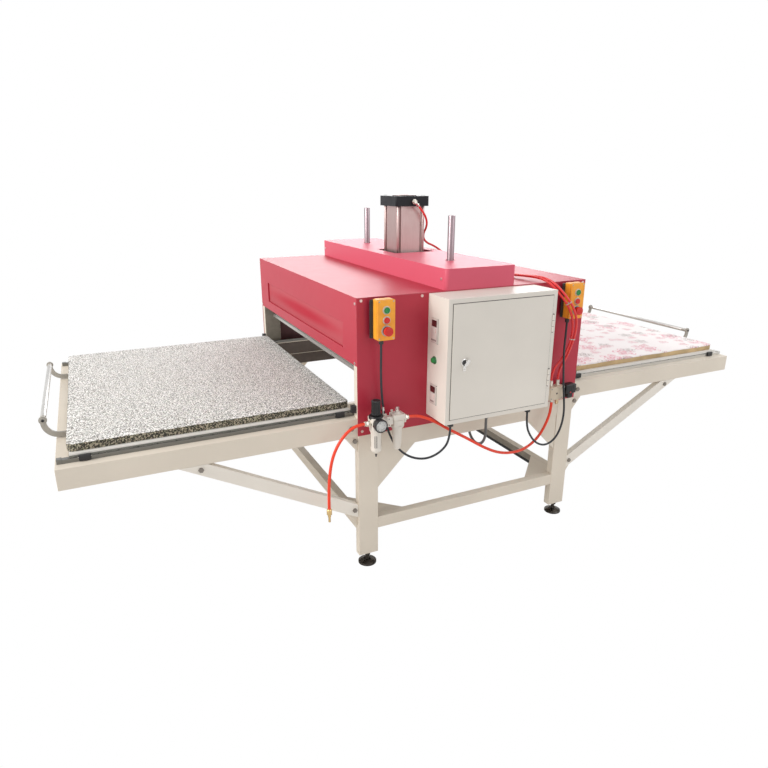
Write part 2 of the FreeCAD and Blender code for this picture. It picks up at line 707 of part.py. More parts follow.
def make_table_sensors():
    sensor = box(
        "table_sensor",
        span(-1, HALF_WIDE, f"{HALF_WIDE} + sensor_wide"),
        span(-1, f"{LEG_BACK} + tube_wall", f"{LEG_BACK} + tube_wall + sensor_deep"),
        ("sensor_base", "sensor_base + sensor_high"),
    )
    return sub_part("table_sensors", *four_corners(sensor))


# Red covers

def make_front_and_back_covers():
    for label, side in (("front_cover", -1), ("back_cover", 1)):
        sub_part(label, box(
            label + "_sheet",
            (f"-{FRAME_SIDE}", FRAME_SIDE),
            span(side, HALF_DEEP, FRAME_FACE),
            ("front_cover_base", "housing_top - cover_sheet"),
        ))


def make_side_cover():
    """A side cover with a long panel pressed into it."""
    heights = ("recess_base", "recess_base + recess_high")
    lengths = ("-recess_long / 2", "recess_long / 2")
    sheet_part = box(
        "side_sheet",
        span(-1, HALF_WIDE, FRAME_SIDE),
        (f"-{HALF_DEEP}", HALF_DEEP),
        ("side_cover_base", "housing_top - cover_sheet"),
    )
    pan = box(
        "side_pan",
        span(-1, f"{FRAME_SIDE} - recess_depth - cover_sheet", HALF_WIDE),
        ("-recess_long / 2 - cover_sheet", "recess_long / 2 + cover_sheet"),
        ("recess_base - cover_sheet", "recess_base + recess_high + cover_sheet"),
    )
    pressing = box(
        "side_pressing",
        span(-1, f"{FRAME_SIDE} - recess_depth", FRAME_SIDE),
        lengths,
        heights,
    )
    return cut("side_cover", fuse("side_cover_blank", sheet_part, pan), pressing)


def make_side_covers():
    sub_part("side_covers", *both_ends(make_side_cover(), "x"))


def make_top_cover():
    sheet_part = box(
        "top_sheet",
        (f"-{FRAME_SIDE}", FRAME_SIDE),
        (f"-{FRAME_FACE}", FRAME_FACE),
        (CROSS_BASE, "housing_top"),
    )
    opening = box(
        "top_opening",
        ("-cross_tube_out", "cross_tube_out"),
        (f"-{HALF_DEEP}", HALF_DEEP),
        (CROSS_BASE, "housing_top"),
    )
    sub_part("top_cover", cut("top_cover_sheet", sheet_part, opening))


def make_riser_cover():
    outer = rounded(
        "riser_rounded",
        box(
            "riser_outer",
            ("-riser_wide / 2", "riser_wide / 2"),
            (f"-{FRAME_FACE}", FRAME_FACE),
            ("housing_top", RISER_TOP),
        ),
        size["riser_corner"], "z",
    )
    inner = rounded(
        "riser_inner_rounded",
        box(
            "riser_inner",
            ("-riser_wide / 2 + cover_sheet", "riser_wide / 2 - cover_sheet"),
            (f"-{HALF_DEEP}", HALF_DEEP),
            ("housing_top", f"{RISER_TOP} - cover_sheet"),
        ),
        size["riser_corner"] - size["cover_sheet"], "z",
    )
    opening = box(
        "cylinder_opening",
        ("-opening_left", "opening_right"),
        ("-opening_deep / 2", "opening_deep / 2"),
        (f"{RISER_TOP} - cover_sheet", RISER_TOP),
    )
    rod_hole = rod(
        "riser_rod_hole", "z", "rod_hole / 2", "cover_sheet",
        y="-rod_line", z=f"{RISER_TOP} - cover_sheet",
    )
    port_hole = rod(
        "riser_port_hole", "x", "fitting_size / 2", "cover_sheet",
        x="riser_wide / 2 - cover_sheet", z=f"{PLATE_TOP} + end_cap_high / 2",
    )
    tools = [inner, opening, *both_ends(rod_hole, "y"), port_hole]
    sub_part("riser_cover", cut("riser_shell", outer, *tools))


def make_cover_screws():
    """Domed screws near the corners of the covers."""
    head = "screw_head / 2"
    screws = []
    for name, x, z in (
        ("outer_top", f"{FRAME_SIDE} - screw_head * 1.6", "housing_top - screw_head"),
        ("inner_top", f"{BOX_RIGHT} + screw_head * 0.6", "housing_top - screw_head"),
        ("outer_low", f"{FRAME_SIDE} - screw_head * 1.6", "front_cover_base + screw_head * 1.7"),
    ):
        screw = rod("screw_" + name, "y", head, "screw_head_high", f"-({x})", f"-({FRAME_FACE} + screw_head_high)", z)
        screws += four_corners(screw)
    for name, y, z in (
        ("side_top", f"{FRAME_FACE} - screw_head", "housing_top - screw_head * 2"),
        ("side_low", f"{FRAME_FACE} - screw_head * 1.6", "side_cover_base + screw_head"),
    ):
        screw = rod("screw_" + name, "x", head, "screw_head_high", f"-({FRAME_SIDE} + screw_head_high)", f"-({y})", z)
        screws += four_corners(screw)
    riser_screw = rod(
        "screw_riser", "x", head, "screw_head_high",
        "-(riser_wide / 2 + screw_head_high)", f"-({FRAME_FACE} - screw_head * 3)", "housing_top + riser_high / 2",
    )
    sub_part("cover_screws", *screws, *four_corners(riser_screw))


# Crosshead, cylinder and platen

def make_top_frame():
    leg_row = span(-1, LEG_BACK, HALF_DEEP)
    level = (TOP_TUBE_BASE, CROSS_BASE)
    front_tube = tube("top_front_tube", "x", (f"-{HALF_WIDE}", HALF_WIDE), leg_row, level)
    side_tube = tube(
        "top_side_tube", "y",
        span(-1, f"{HALF_WIDE} - leg_deep", HALF_WIDE),
        (f"-{LEG_BACK}", LEG_BACK),
        level,
    )
    cross_tube = tube(
        "cross_tube", "y",
        span(-1, "cross_tube_out - cross_tube_wide", "cross_tube_out"),
        (f"-{HALF_DEEP} + tube_wall", f"{HALF_DEEP} - tube_wall"),
        (CROSS_BASE, f"{CROSS_BASE} + cross_tube_high"),
    )
    inside = ("-(cross_tube_out - cross_tube_wide)", "cross_tube_out - cross_tube_wide")
    cylinder_plate = cut(
        "cylinder_plate",
        box(
            "cylinder_plate_blank", inside,
            ("-cylinder_plate_long / 2", "cylinder_plate_long / 2"),
            (CROSS_BASE, PLATE_TOP),
        ),
        rod("cylinder_plate_bore", "z", "piston_rod / 2 + slide_gap", "press_plate", z=CROSS_BASE),
    )
    bushing_plate = cut(
        "bushing_plate",
        box(
            "bushing_plate_blank", inside,
            ("-rod_line - bushing_plate_long / 2", "-rod_line + bushing_plate_long / 2"),
            (CROSS_BASE, PLATE_TOP),
        ),
        rod("bushing_plate_bore", "z", "bushing_size / 2", "press_plate", y="-rod_line", z=CROSS_BASE),
    )
    port_path = rod(
        "cross_tube_port_hole", "x", "fitting_size / 2 + slide_gap", "cross_tube_wide",
        x="cross_tube_out - cross_tube_wide", z=f"{PLATE_TOP} + end_cap_high / 2",
    )
    left_cross_tube, right_cross_tube = both_ends(cross_tube, "x")
    sub_part(
        "top_frame",
        *both_ends(front_tube, "y"),
        *both_ends(side_tube, "x"),
        left_cross_tube,
        cut("right_cross_tube_drilled", right_cross_tube, port_path),
        cylinder_plate,
        *both_ends(bushing_plate, "y"),
    )


def make_bushings():
    sleeve = rod(
        "bushing_sleeve", "z", "bushing_size / 2", "bushing_up + press_plate + bushing_down",
        y="-rod_line", z=f"{CROSS_BASE} - bushing_down",
    )
    flange = rod("bushing_rim", "z", "bushing_flange / 2", "flange_thick", y="-rod_line", z=PLATE_TOP)
    bore = rod(
        "bushing_bore", "z", "guide_rod / 2 + fit_gap", "bushing_up + press_plate + bushing_down",
        y="-rod_line", z=f"{CROSS_BASE} - bushing_down",
    )
    bushing = cut("bushing", fuse("bushing_blank", sleeve, flange), bore)
    sub_part("guide_bushings", *both_ends(bushing, "y"))


def make_cylinder():
    half_cap = "end_cap_wide / 2"
    base_cap = rounded(
        "cylinder_base_rounded",
        box(
            "cylinder_base_block",
            (f"-{half_cap}", half_cap), (f"-{half_cap}", half_cap), (PLATE_TOP, BARREL_BASE),
        ),
        size["end_cap_corner"], "z",
    )
    rod_bore = rod("cylinder_rod_bore", "z", "piston_rod / 2 + fit_gap", "end_cap_high", z=PLATE_TOP)
    half_barrel = "barrel_wide / 2"
    barrel_block = box(
        "barrel_block",
        (f"-{half_barrel}", half_barrel), (f"-{half_barrel}", half_barrel), (BARREL_BASE, "barrel_top"),
    )
    bore = rod("barrel_bore_tool", "z", "barrel_bore / 2", f"barrel_top - {BARREL_BASE}", z=BARREL_BASE)
    notch = box(
        "barrel_notch_tool",
        (f"-{half_barrel}", f"-{half_barrel} + barrel_notch"),
        (f"-{half_barrel}", f"-{half_barrel} + barrel_notch"),
        (BARREL_BASE, "barrel_top"),
    )
    barrel = cut("barrel", barrel_block, bore, *four_corners(notch))
    tie = rod(
        "tie_rod_bar", "z", "tie_rod / 2", f"barrel_top - {BARREL_BASE}",
        "-tie_rod_line", "-tie_rod_line", BARREL_BASE,
    )
    sub_part("cylinder_barrel", cut("cylinder_base", base_cap, rod_bore), barrel, *four_corners(tie))
    cap = rounded(
        "cylinder_cap_rounded",
        box(
            "cylinder_cap_block",
            (f"-{half_cap}", half_cap), (f"-{half_cap}", half_cap),
            ("barrel_top", "barrel_top + end_cap_high"),
        ),
        size["end_cap_corner"], "z",
    )
    ring = rod("cylinder_cap_ring", "z", "cap_ring / 2", "cap_ring_high", z="barrel_top + end_cap_high")
    sub_part("cylinder_cap", fuse("cylinder_cap_whole", cap, ring))


def make_press_rods():
    guide = rod(
        "guide_rod_bar", "z", "guide_rod / 2", f"rod_top - {STRONGBACK_TOP}",
        y="-rod_line", z=STRONGBACK_TOP,
    )
    stem = rod("piston_stem", "z", "piston_rod / 2", f"barrel_top - slide_gap * 5 - {STRONGBACK_TOP}", z=STRONGBACK_TOP)
    piston = rod(
        "piston_disc", "z", "barrel_bore / 2 - fit_gap", "piston_high",
        z="barrel_top - slide_gap * 5 - piston_high",
    )
    sub_part("press_rods", *both_ends(guide, "y"), fuse("piston", stem, piston))


def make_platen():
    sub_part("heating_platen", box(
        "platen_plate",
        ("-pad_long / 2", "pad_long / 2"), ("-pad_deep / 2", "pad_deep / 2"), ("platen_base", PLATEN_TOP),
    ))
    half_long = "(pad_long / 2 - insulation_inset)"
    half_deep = "(pad_deep / 2 - insulation_inset)"
    sub_part("insulation_board", box(
        "insulation_block",
        (f"-{half_long}", half_long), (f"-{half_deep}", half_deep), (PLATEN_TOP, INSULATION_TOP),
    ))
    level = (INSULATION_TOP, STRONGBACK_TOP)
    half_bar = "strongback_bar / 2"
    bars = []
    for step in (-2, -1, 0, 1, 2):
        y = f"{step} * rod_line / 2"
        bars.append(box(
            f"cross_bar_{step + 2}",
            ("-strongback_wide / 2", "strongback_wide / 2"), (f"{y} - {half_bar}", f"{y} + {half_bar}"), level,
        ))
    for step in (-1, 0, 1):
        x = f"{step} * (strongback_wide / 2 - {half_bar})"
        bars.append(box(
            f"long_bar_{step + 1}",
            (f"{x} - {half_bar}", f"{x} + {half_bar}"), ("-strongback_deep / 2", "strongback_deep / 2"), level,
        ))
    sub_part("platen_strongback", fuse("strongback_grid", *bars))


# Tables

def make_table(hand, side):
    middle = f"{side} * table_rest"
    x = span(side, TRAY_IN, TRAY_OUT)
    y = ("-tray_deep / 2", "tray_deep / 2")
    blank = box(
        hand + "_tray_blank", x, y,
        ("pad_base - tray_plate - tray_rim_down", "pad_base + tray_rim_up"),
    )
    inside_x = (f"{x[0]} + tray_plate", f"{x[1]} - tray_plate")
    inside_y = ("-tray_deep / 2 + tray_plate", "tray_deep / 2 - tray_plate")
    over = box(hand + "_tray_over", inside_x, inside_y, ("pad_base", "pad_base + tray_rim_up"))
    under = box(
        hand + "_tray_under", inside_x, inside_y,
        ("pad_base - tray_plate - tray_rim_down", "pad_base - tray_plate"),
    )
    open_ends = [
        box(f"{hand}_tray_end_{n}", ends, inside_y, ("pad_base", "pad_base + tray_rim_up"))
        for n, ends in enumerate(((x[0], inside_x[0]), (inside_x[1], x[1])))
    ]
    notches = []
    for end, along in (("inner", f"{TRAY_IN} + carriage_inset"), ("outer", f"{TRAY_OUT} - carriage_inset")):
        notches += both_ends(box(
            f"{hand}_{end}_carriage_notch",
            (
                f"{side} * ({along}) - carriage_long / 2 - slide_gap",
                f"{side} * ({along}) + carriage_long / 2 + slide_gap",
            ),
            ("-tray_deep / 2", "-tray_deep / 2 + tray_plate"),
            ("pad_base - tray_plate - tray_rim_down", "pad_base - tray_plate"),
        ), "y")
    notches += both_ends(box(
        hand + "_arm_notch",
        span(side, f"{TRAY_OUT} - tray_plate", TRAY_OUT),
        ("-arm_line - arm_thick / 2 - slide_gap", "-arm_line + arm_thick / 2 + slide_gap"),
        ("pad_base - tray_plate - tray_rim_down", "pad_base - tray_plate"),
    ), "y")
    sub_part(hand + "_tray", cut(hand + "_tray_pan", blank, over, under, *open_ends, *notches))
    pad = rounded(
        hand + "_pad_rounded",
        box(
            hand + "_pad_block",
            (f"{middle} - pad_long / 2", f"{middle} + pad_long / 2"),
            ("-pad_deep / 2", "pad_deep / 2"),
            ("pad_base", "pad_base + pad_thick"),
        ),
        size["pad_corner"], "z",
    )
    sub_part(hand + "_pad", pad)
    carriages = []
    for end, along in (("inner", f"{TRAY_IN} + carriage_inset"), ("outer", f"{TRAY_OUT} - carriage_inset")):
        block = box(
            f"{hand}_{end}_carriage_block",
            (f"{side} * ({along}) - carriage_long / 2", f"{side} * ({along}) + carriage_long / 2"),
            span(-1, "linear_line - carriage_wide / 2", "linear_line + carriage_wide / 2"),
            ("beam_top + carriage_lift", "pad_base - tray_plate"),
        )
        channel = box(
            f"{hand}_{end}_carriage_channel",
            (f"{side} * ({along}) - carriage_long / 2", f"{side} * ({along}) + carriage_long / 2"),
            span(-1, "linear_line - linear_wide / 2 - slide_gap", "linear_line + linear_wide / 2 + slide_gap"),
            ("beam_top + carriage_lift", f"{LINEAR_TOP} + slide_gap"),
        )
        carriages += both_ends(cut(f"{hand}_{end}_carriage", block, channel), "y")
    sub_part(hand + "_carriages", *carriages)


def make_handle(hand, side):
    """Two flat bars that come from under the tray and bend up to a tube."""
    bend_x = f"({GRIP_LINE} - arm_bend)"
    bend_z = f"({ARM_LEVEL} + arm_bend)"
    half_arm = "arm_wide / 2"
    y = span(-1, "arm_line - arm_thick / 2", "arm_line + arm_thick / 2")
    flat = box(
        hand + "_arm_flat",
        span(-1, f"{TRAY_OUT} - arm_under", bend_x), y, (f"{ARM_LEVEL} - {half_arm}", f"{ARM_LEVEL} + {half_arm}"),
    )
    upright = box(
        hand + "_arm_upright",
        span(-1, f"{GRIP_LINE} - {half_arm}", f"{GRIP_LINE} + {half_arm}"), y, (bend_z, "grip_high"),
    )
    bend_outer = rod(
        hand + "_arm_bend_outer", "y", f"arm_bend + {half_arm}", "arm_thick", f"-{bend_x}", y[0], bend_z,
    )
    bend_inner = rod(
        hand + "_arm_bend_inner", "y", f"arm_bend - {half_arm}", "arm_thick", f"-{bend_x}", y[0], bend_z,
    )
    quarter = box(
        hand + "_arm_quarter",
        span(-1, bend_x, f"{GRIP_LINE} + arm_wide"), y, (f"{ARM_LEVEL} - arm_wide", bend_z),
    )
    bend = doc.addObject("Part::Common", hand + "_arm_bend")
    bend.Base = cut(hand + "_arm_ring", bend_outer, bend_inner)
    bend.Tool = quarter
    boss = rod(hand + "_arm_boss", "y", "grip_size / 2 + arm_wide / 4", "arm_thick", f"-{GRIP_LINE}", y[0], "grip_high")
    arm = fuse(hand + "_arm", flat, bend, upright, boss)
    grip = rod(
        hand + "_grip", "y", "grip_size / 2", "2 * arm_line - arm_thick",
        f"-{GRIP_LINE}", "-arm_line + arm_thick / 2", "grip_high",
    )
    whole = fuse(hand + "_handle_whole", *both_ends(arm, "y"), grip)
    if side > 0:
        whole = mirrored(hand + "_handle_mirrored", whole, "x")
    sub_part(hand + "_handle", whole)


# Control box

def make_control_box():
    x = (BOX_LEFT, BOX_RIGHT)
    y = span(-1, FRAME_FACE, BOX_FACE)
    z = ("box_base", "box_base + box_high")
    inside = (
        (f"{BOX_LEFT} + box_wall", f"{BOX_RIGHT} - box_wall"),
        (f"-{BOX_FACE} + box_wall", f"-{FRAME_FACE} - box_wall"),
        ("box_base + box_wall", "box_base + box_high - box_wall"),
    )
    lap = "(door_margin + door_lap)"
    mouth = box(
        "box_mouth",
        (f"{BOX_LEFT} + {lap}", f"{BOX_RIGHT} - {lap}"),
        (f"-{BOX_FACE}", f"-{BOX_FACE} + box_wall"),
        (f"box_base + {lap}", f"box_base + box_high - {lap}"),
    )
    holes = []
    for name, up, high in (("controller", "controller_up", "panel_high"), ("timer", "timer_up", "timer_high")):
        holes.append(box(
            name + "_cutout",
            (BOX_LEFT, f"{BOX_LEFT} + box_wall"),
            (f"-{PANEL_MIDDLE} - panel_wide / 2 + panel_bezel", f"-{PANEL_MIDDLE} + panel_wide / 2 - panel_bezel"),
            (f"box_base + {up} - {high} / 2 + panel_bezel", f"box_base + {up} + {high} / 2 - panel_bezel"),
        ))
    holes.append(rod(
        "power_button_hole", "x", "button_size / 2 + slide_gap * 2", "box_wall",
        BOX_LEFT, f"-{PANEL_MIDDLE}", "box_base + power_button_up",
    ))
    shell = cut("box_shell", box("box_outer", x, y, z), box("box_inner", *inside), mouth, *holes)
    hinges = []
    for name, up in (("low", "door_margin + hinge_margin"), ("high", "box_high - door_margin - hinge_margin")):
        hinges.append(rod(
            f"hinge_{name}", "z", "hinge_size / 2", "hinge_long",
            f"{BOX_RIGHT} - door_margin + hinge_size / 2 + slide_gap",
            f"-({BOX_FACE} + hinge_size / 2)",
            f"box_base + {up} - hinge_long / 2",
        ))
    back_plate = box(
        "switchgear_plate",
        (f"{BOX_LEFT} + door_margin * 4", f"{BOX_RIGHT} - door_margin * 2"),
        (f"-{FRAME_FACE} - box_wall * 2", f"-{FRAME_FACE} - box_wall"),
        ("box_base + door_margin * 2", "box_base + box_high - door_margin * 2"),
    )
    sub_part("control_box", shell, *hinges, back_plate)


def make_door():
    face = f"-({BOX_FACE} + slide_gap + door_thick)"
    sheet_part = box(
        "door_sheet",
        (f"{BOX_LEFT} + door_margin", f"{BOX_RIGHT} - door_margin"),
        (face, f"-({BOX_FACE} + slide_gap)"),
        ("box_base + door_margin", "box_base + box_high - door_margin"),
    )
    lock_hole = rod(
        "door_lock_hole", "y", "lock_size / 2 - slide_gap * 4", "door_thick",
        f"{BOX_LEFT} + door_margin + lock_inset", face, "box_base + box_high / 2",
    )
    sub_part("control_door", cut("door_panel", sheet_part, lock_hole))


def make_lock():
    x = f"{BOX_LEFT} + door_margin + lock_inset"
    z = "box_base + box_high / 2"
    face = f"-({BOX_FACE} + slide_gap + door_thick)"
    collar = rod("lock_collar", "y", "lock_size / 2", "door_thick", x, f"{face} - door_thick - slide_gap", z)
    barrel = rod(
        "lock_barrel", "y", "lock_size / 2 - slide_gap * 5", "door_thick * 6 + slide_gap",
        x, f"{face} - slide_gap", z,
    )
    bow = box(
        "lock_wing",
        (f"{x} - door_thick / 2", f"{x} + door_thick / 2"),
        (f"{face} - door_thick * 4 - slide_gap", f"{face} - door_thick - slide_gap"),
        (f"{z} - lock_size / 2", f"{z} + lock_size / 2"),
    )
    cam = box(
        "lock_cam_bar",
        (f"{x} - lock_size / 3", f"{x} + lock_size / 3"),
        (f"-{BOX_FACE} + box_wall * 2", f"-{BOX_FACE} + box_wall * 2 + door_thick"),
        (f"{z} - lock_cam", z),
    )
    sub_part("door_lock", fuse("lock_whole", collar, barrel, bow, cam))


def make_instruments():
    solids = []
    for name, up, high in (("controller", "controller_up", "panel_high"), ("timer", "timer_up", "timer_high")):
        middle = f"box_base + {up}"
        bezel = box(
            name + "_bezel",
            (f"{BOX_LEFT} - panel_bezel", BOX_LEFT),
            (f"-{PANEL_MIDDLE} - panel_wide / 2", f"-{PANEL_MIDDLE} + panel_wide / 2"),
            (f"{middle} - {high} / 2", f"{middle} + {high} / 2"),
        )
        case = box(
            name + "_case",
            (BOX_LEFT, f"{BOX_LEFT} + panel_body"),
            (
                f"-{PANEL_MIDDLE} - panel_wide / 2 + panel_bezel + slide_gap",
                f"-{PANEL_MIDDLE} + panel_wide / 2 - panel_bezel - slide_gap",
            ),
            (
                f"{middle} - {high} / 2 + panel_bezel + slide_gap",
                f"{middle} + {high} / 2 - panel_bezel - slide_gap",
            ),
        )
        solids.append(fuse(name, bezel, case))
    spot = (f"-{PANEL_MIDDLE}", "box_base + power_button_up")
    ring = cut(
        "power_bezel",
        rod("power_bezel_disc", "x", "bezel_size / 2", "bezel_high", f"{BOX_LEFT} - bezel_high", *spot),
        rod(
            "power_bezel_bore", "x", "button_size / 2 + slide_gap", "bezel_high",
            f"{BOX_LEFT} - bezel_high", *spot,
        ),
    )
    sub_part("panel_instruments", *solids, ring)
    sub_part("power_button", rod(
        "power_button_cap", "x", "button_size / 2", "button_proud + button_inside",
        f"{BOX_LEFT} - button_proud", *spot,
    ))


# Switch boxes and their buttons

def make_switch_box(hand, side):
    x = f"{side} * switch_line"
    case = rounded(
        hand + "_switch_rounded",
        box(
            hand + "_switch_case",
            (f"{x} - switch_wide / 2", f"{x} + switch_wide / 2"),
            (f"-{SWITCH_FACE}", f"-({FRAME_FACE} + switch_spacer)"),
            ("switch_base", "switch_base + switch_high"),
        ),
        size["switch_corner"], "y",
    )
    spacer = box(
        hand + "_switch_spacer",
        (f"{x} - switch_wide / 2 + switch_corner", f"{x} + switch_wide / 2 - switch_corner"),
        (f"-({FRAME_FACE} + switch_spacer)", f"-{FRAME_FACE}"),
        ("switch_base + switch_corner", "switch_base + switch_high - switch_corner"),
    )
    depth = "(button_inside + button_travel + slide_gap)"
    bores = []
    bezels = []
    for name, up, radius in (
        ("start", "start_up", "button_size / 2"),
        ("stop", "stop_up", "button_size / 2"),
        ("estop", "estop_up", "stem_size / 2"),
    ):
        z = f"switch_base + {up}"
        bores.append(rod(
            f"{hand}_{name}_bore", "y", f"{radius} + slide_gap", depth, x, f"-{SWITCH_FACE}", z,
        ))
        bezels.append(cut(
            f"{hand}_{name}_bezel",
            rod(f"{hand}_{name}_ring", "y", "bezel_size / 2", "bezel_high", x, f"-{SWITCH_FACE} - bezel_high", z),
            rod(f"{hand}_{name}_hole", "y", f"{radius} + slide_gap", "bezel_high", x, f"-{SWITCH_FACE} - bezel_high", z),
        ))
    return [cut(hand + "_switch_body", case, *bores), spacer, *bezels]


def make_switch_boxes():
    sub_part("switch_boxes", *make_switch_box("left", -1), *make_switch_box("right", 1))


def make_buttons(hand, side):
    x = f"{side} * switch_line"
    for name, up in (("start", "start_up"), ("stop", "stop_up")):
        sub_part(f"{hand}_{name}_button", rod(
            f"{hand}_{name}_cap", "y", "button_size / 2", "button_proud + button_inside",
            x, f"-{SWITCH_FACE} - button_proud", f"switch_base + {up}",
        ))
    z = "switch_base + estop_up"
    stem = rod(
        hand + "_estop_stem", "y", "stem_size / 2", "mushroom_proud + button_inside",
        x, f"-{SWITCH_FACE} - mushroom_proud", z,
    )
    head = rod(
        hand + "_estop_head", "y", "mushroom_size / 2", "mushroom_high",
        x, f"-{SWITCH_FACE} - mushroom_proud", z,
    )
    sub_part(hand + "_emergency_stop", fuse(hand + "_estop", stem, head))


# Air treatment, valve and fittings

def make_air_units():
    half_unit = "unit_wide / 2"
    bodies = []
    for name, line in (("regulator", "regulator_line"), ("lubricator", "lubricator_line")):
        bodies.append(box(
            name + "_body",
            (f"-{line} - {half_unit}", f"-{line} + {half_unit}"),
            (f"-frl_line - {half_unit}", f"-frl_line + {half_unit}"),
            ("port_high - unit_high / 2", "port_high + unit_high / 2"),
        ))
    bowl_top = "port_high - unit_high / 2"
    filter_bowl = rod(
        "filter_bowl_body", "z", "filter_bowl / 2", "bowl_high",
        "-regulator_line", "-frl_line", f"{bowl_top} - bowl_high",
    )
    drain = rod(
        "filter_drain", "z", "filter_bowl / 8", "filter_bowl / 3",
        "-regulator_line", "-frl_line", f"{bowl_top} - bowl_high - filter_bowl / 3",
    )
    neck = rod(
        "regulator_neck", "z", "knob_size / 3", "slide_gap * 4",
        "-regulator_line", "-frl_line", "port_high + unit_high / 2",
    )
    oil_bowl = rod(
        "oil_bowl_body", "z", "oil_bowl / 2", "bowl_high",
        "-lubricator_line", "-frl_line", f"{bowl_top} - bowl_high",
    )
    dome = rod(
        "sight_dome", "z", "dome_size / 2", "dome_size",
        "-lubricator_line", "-frl_line", "port_high + unit_high / 2",
    )
    link = box(
        "unit_link",
        (f"-regulator_line + {half_unit}", f"-lubricator_line - {half_unit}"),
        (f"-frl_line - {half_unit} / 2", f"-frl_line + {half_unit} / 2"),
        ("port_high - unit_high / 4", "port_high + unit_high / 4"),
    )
    bracket = box(
        "unit_bracket",
        (f"-regulator_line + {half_unit} / 3", f"-regulator_line + {half_unit}"),
        (f"-frl_line + {half_unit}", f"-{FRAME_FACE}"),
        ("port_high - unit_high / 4", "port_high + unit_high / 4"),
    )
    sub_part(
        "filter_lubricator",
        fuse("filter_unit", bodies[0], neck, bracket), fuse("filter_glass", filter_bowl, drain),
        fuse("lubricator_unit", bodies[1], dome), oil_bowl, link,
    )
    knob = turned(
        "knob_body",
        [
            ("0", "0"),
            ("knob_size / 2 * 0.86", "0"),
            ("knob_size / 2", "knob_high * 0.12"),
            ("knob_size / 2 * 0.94", "knob_high * 0.93"),
            ("knob_size / 2 * 0.82", "knob_high"),
            ("0", "knob_high"),
        ],
        "-regulator_line", "-frl_line", "port_high + unit_high / 2 + slide_gap * 5",
    )
    sub_part("regulator_knob", knob)


def make_gauge():
    back = "-frl_line - unit_wide / 2"
    case = rod("gauge_case", "y", "gauge_size / 2", "gauge_deep", "-regulator_line", f"{back} - gauge_deep", "port_high")
    dish = rod(
        "gauge_dish", "y", "gauge_size / 2 - tube_wall", "dial_depth",
        "-regulator_line", f"{back} - gauge_deep", "port_high",
    )
    sub_part("pressure_gauge", cut("gauge_body", case, dish))
    dial = f"{back} - gauge_deep + dial_depth"
    hub = rod("needle_hub", "y", "tube_wall", "dial_depth / 2", "-regulator_line", f"{dial} - dial_depth / 2 - slide_gap", "port_high")
    pointer = box(
        "needle_pointer",
        ("0", "slide_gap * 4"), ("0", "slide_gap * 3"), ("0", "needle_long * 1.25"),
    )
    pointer.Placement = Placement(Vector(), TURNS["gauge_zero"])
    tail = "(slide_gap * 2 + needle_long / 4) / sqrt(2)"
    lift = "(needle_long / 4 - slide_gap * 2) / sqrt(2)"
    place(pointer, f"-regulator_line + {tail}", f"{dial} - dial_depth / 2 - slide_gap", f"port_high + {lift}")
    sub_part("gauge_needle", fuse("needle", hub, pointer))


def make_valve():
    right = "valve_left + valve_long"
    top = "valve_base + valve_high"
    body = box(
        "valve_body", ("valve_left", right), ("-frl_line", f"-{VALVE_BACK}"), ("valve_base", top),
    )
    foot = box(
        "valve_foot",
        ("valve_left + valve_long / 4", "valve_left + valve_long * 3 / 4"),
        (f"-{VALVE_BACK}", f"-{FRAME_FACE}"),
        ("valve_base + valve_high / 4", "valve_base + valve_high * 3 / 4"),
    )
    neck = rod(
        "coil_neck", "x", "fitting_size / 2", "tube_wall * 3",
        right, f"-frl_line + valve_deep / 2", f"{top} - coil_high / 2",
    )
    coil = box(
        "coil_block",
        (f"{right} + tube_wall * 3", f"{right} + tube_wall * 3 + coil_wide"),
        ("-frl_line", f"-{VALVE_BACK}"),
        (f"{top} - coil_high", top),
    )
    plug = box(
        "coil_plug",
        (f"{right} + tube_wall * 3 + coil_wide / 4", f"{right} + tube_wall * 3 + coil_wide * 3 / 4"),
        ("-frl_line + tube_wall", f"-{VALVE_BACK} - tube_wall"),
        (f"{top} - coil_high - fitting_size", f"{top} - coil_high"),
    )
    sub_part("air_valve", fuse("valve_block", body, foot, neck), coil, plug)


VALVE_MIDDLE = "(frl_line - valve_deep / 2)"
PORT_LEFT = "(valve_left + valve_long / 4)"
PORT_RIGHT = "(valve_left + valve_long * 2 / 3)"
PORT_TOP = "(valve_base + valve_high)"
FITTING_LONG = "(fitting_size * 1.2)"
CAP_PORT_X = 5


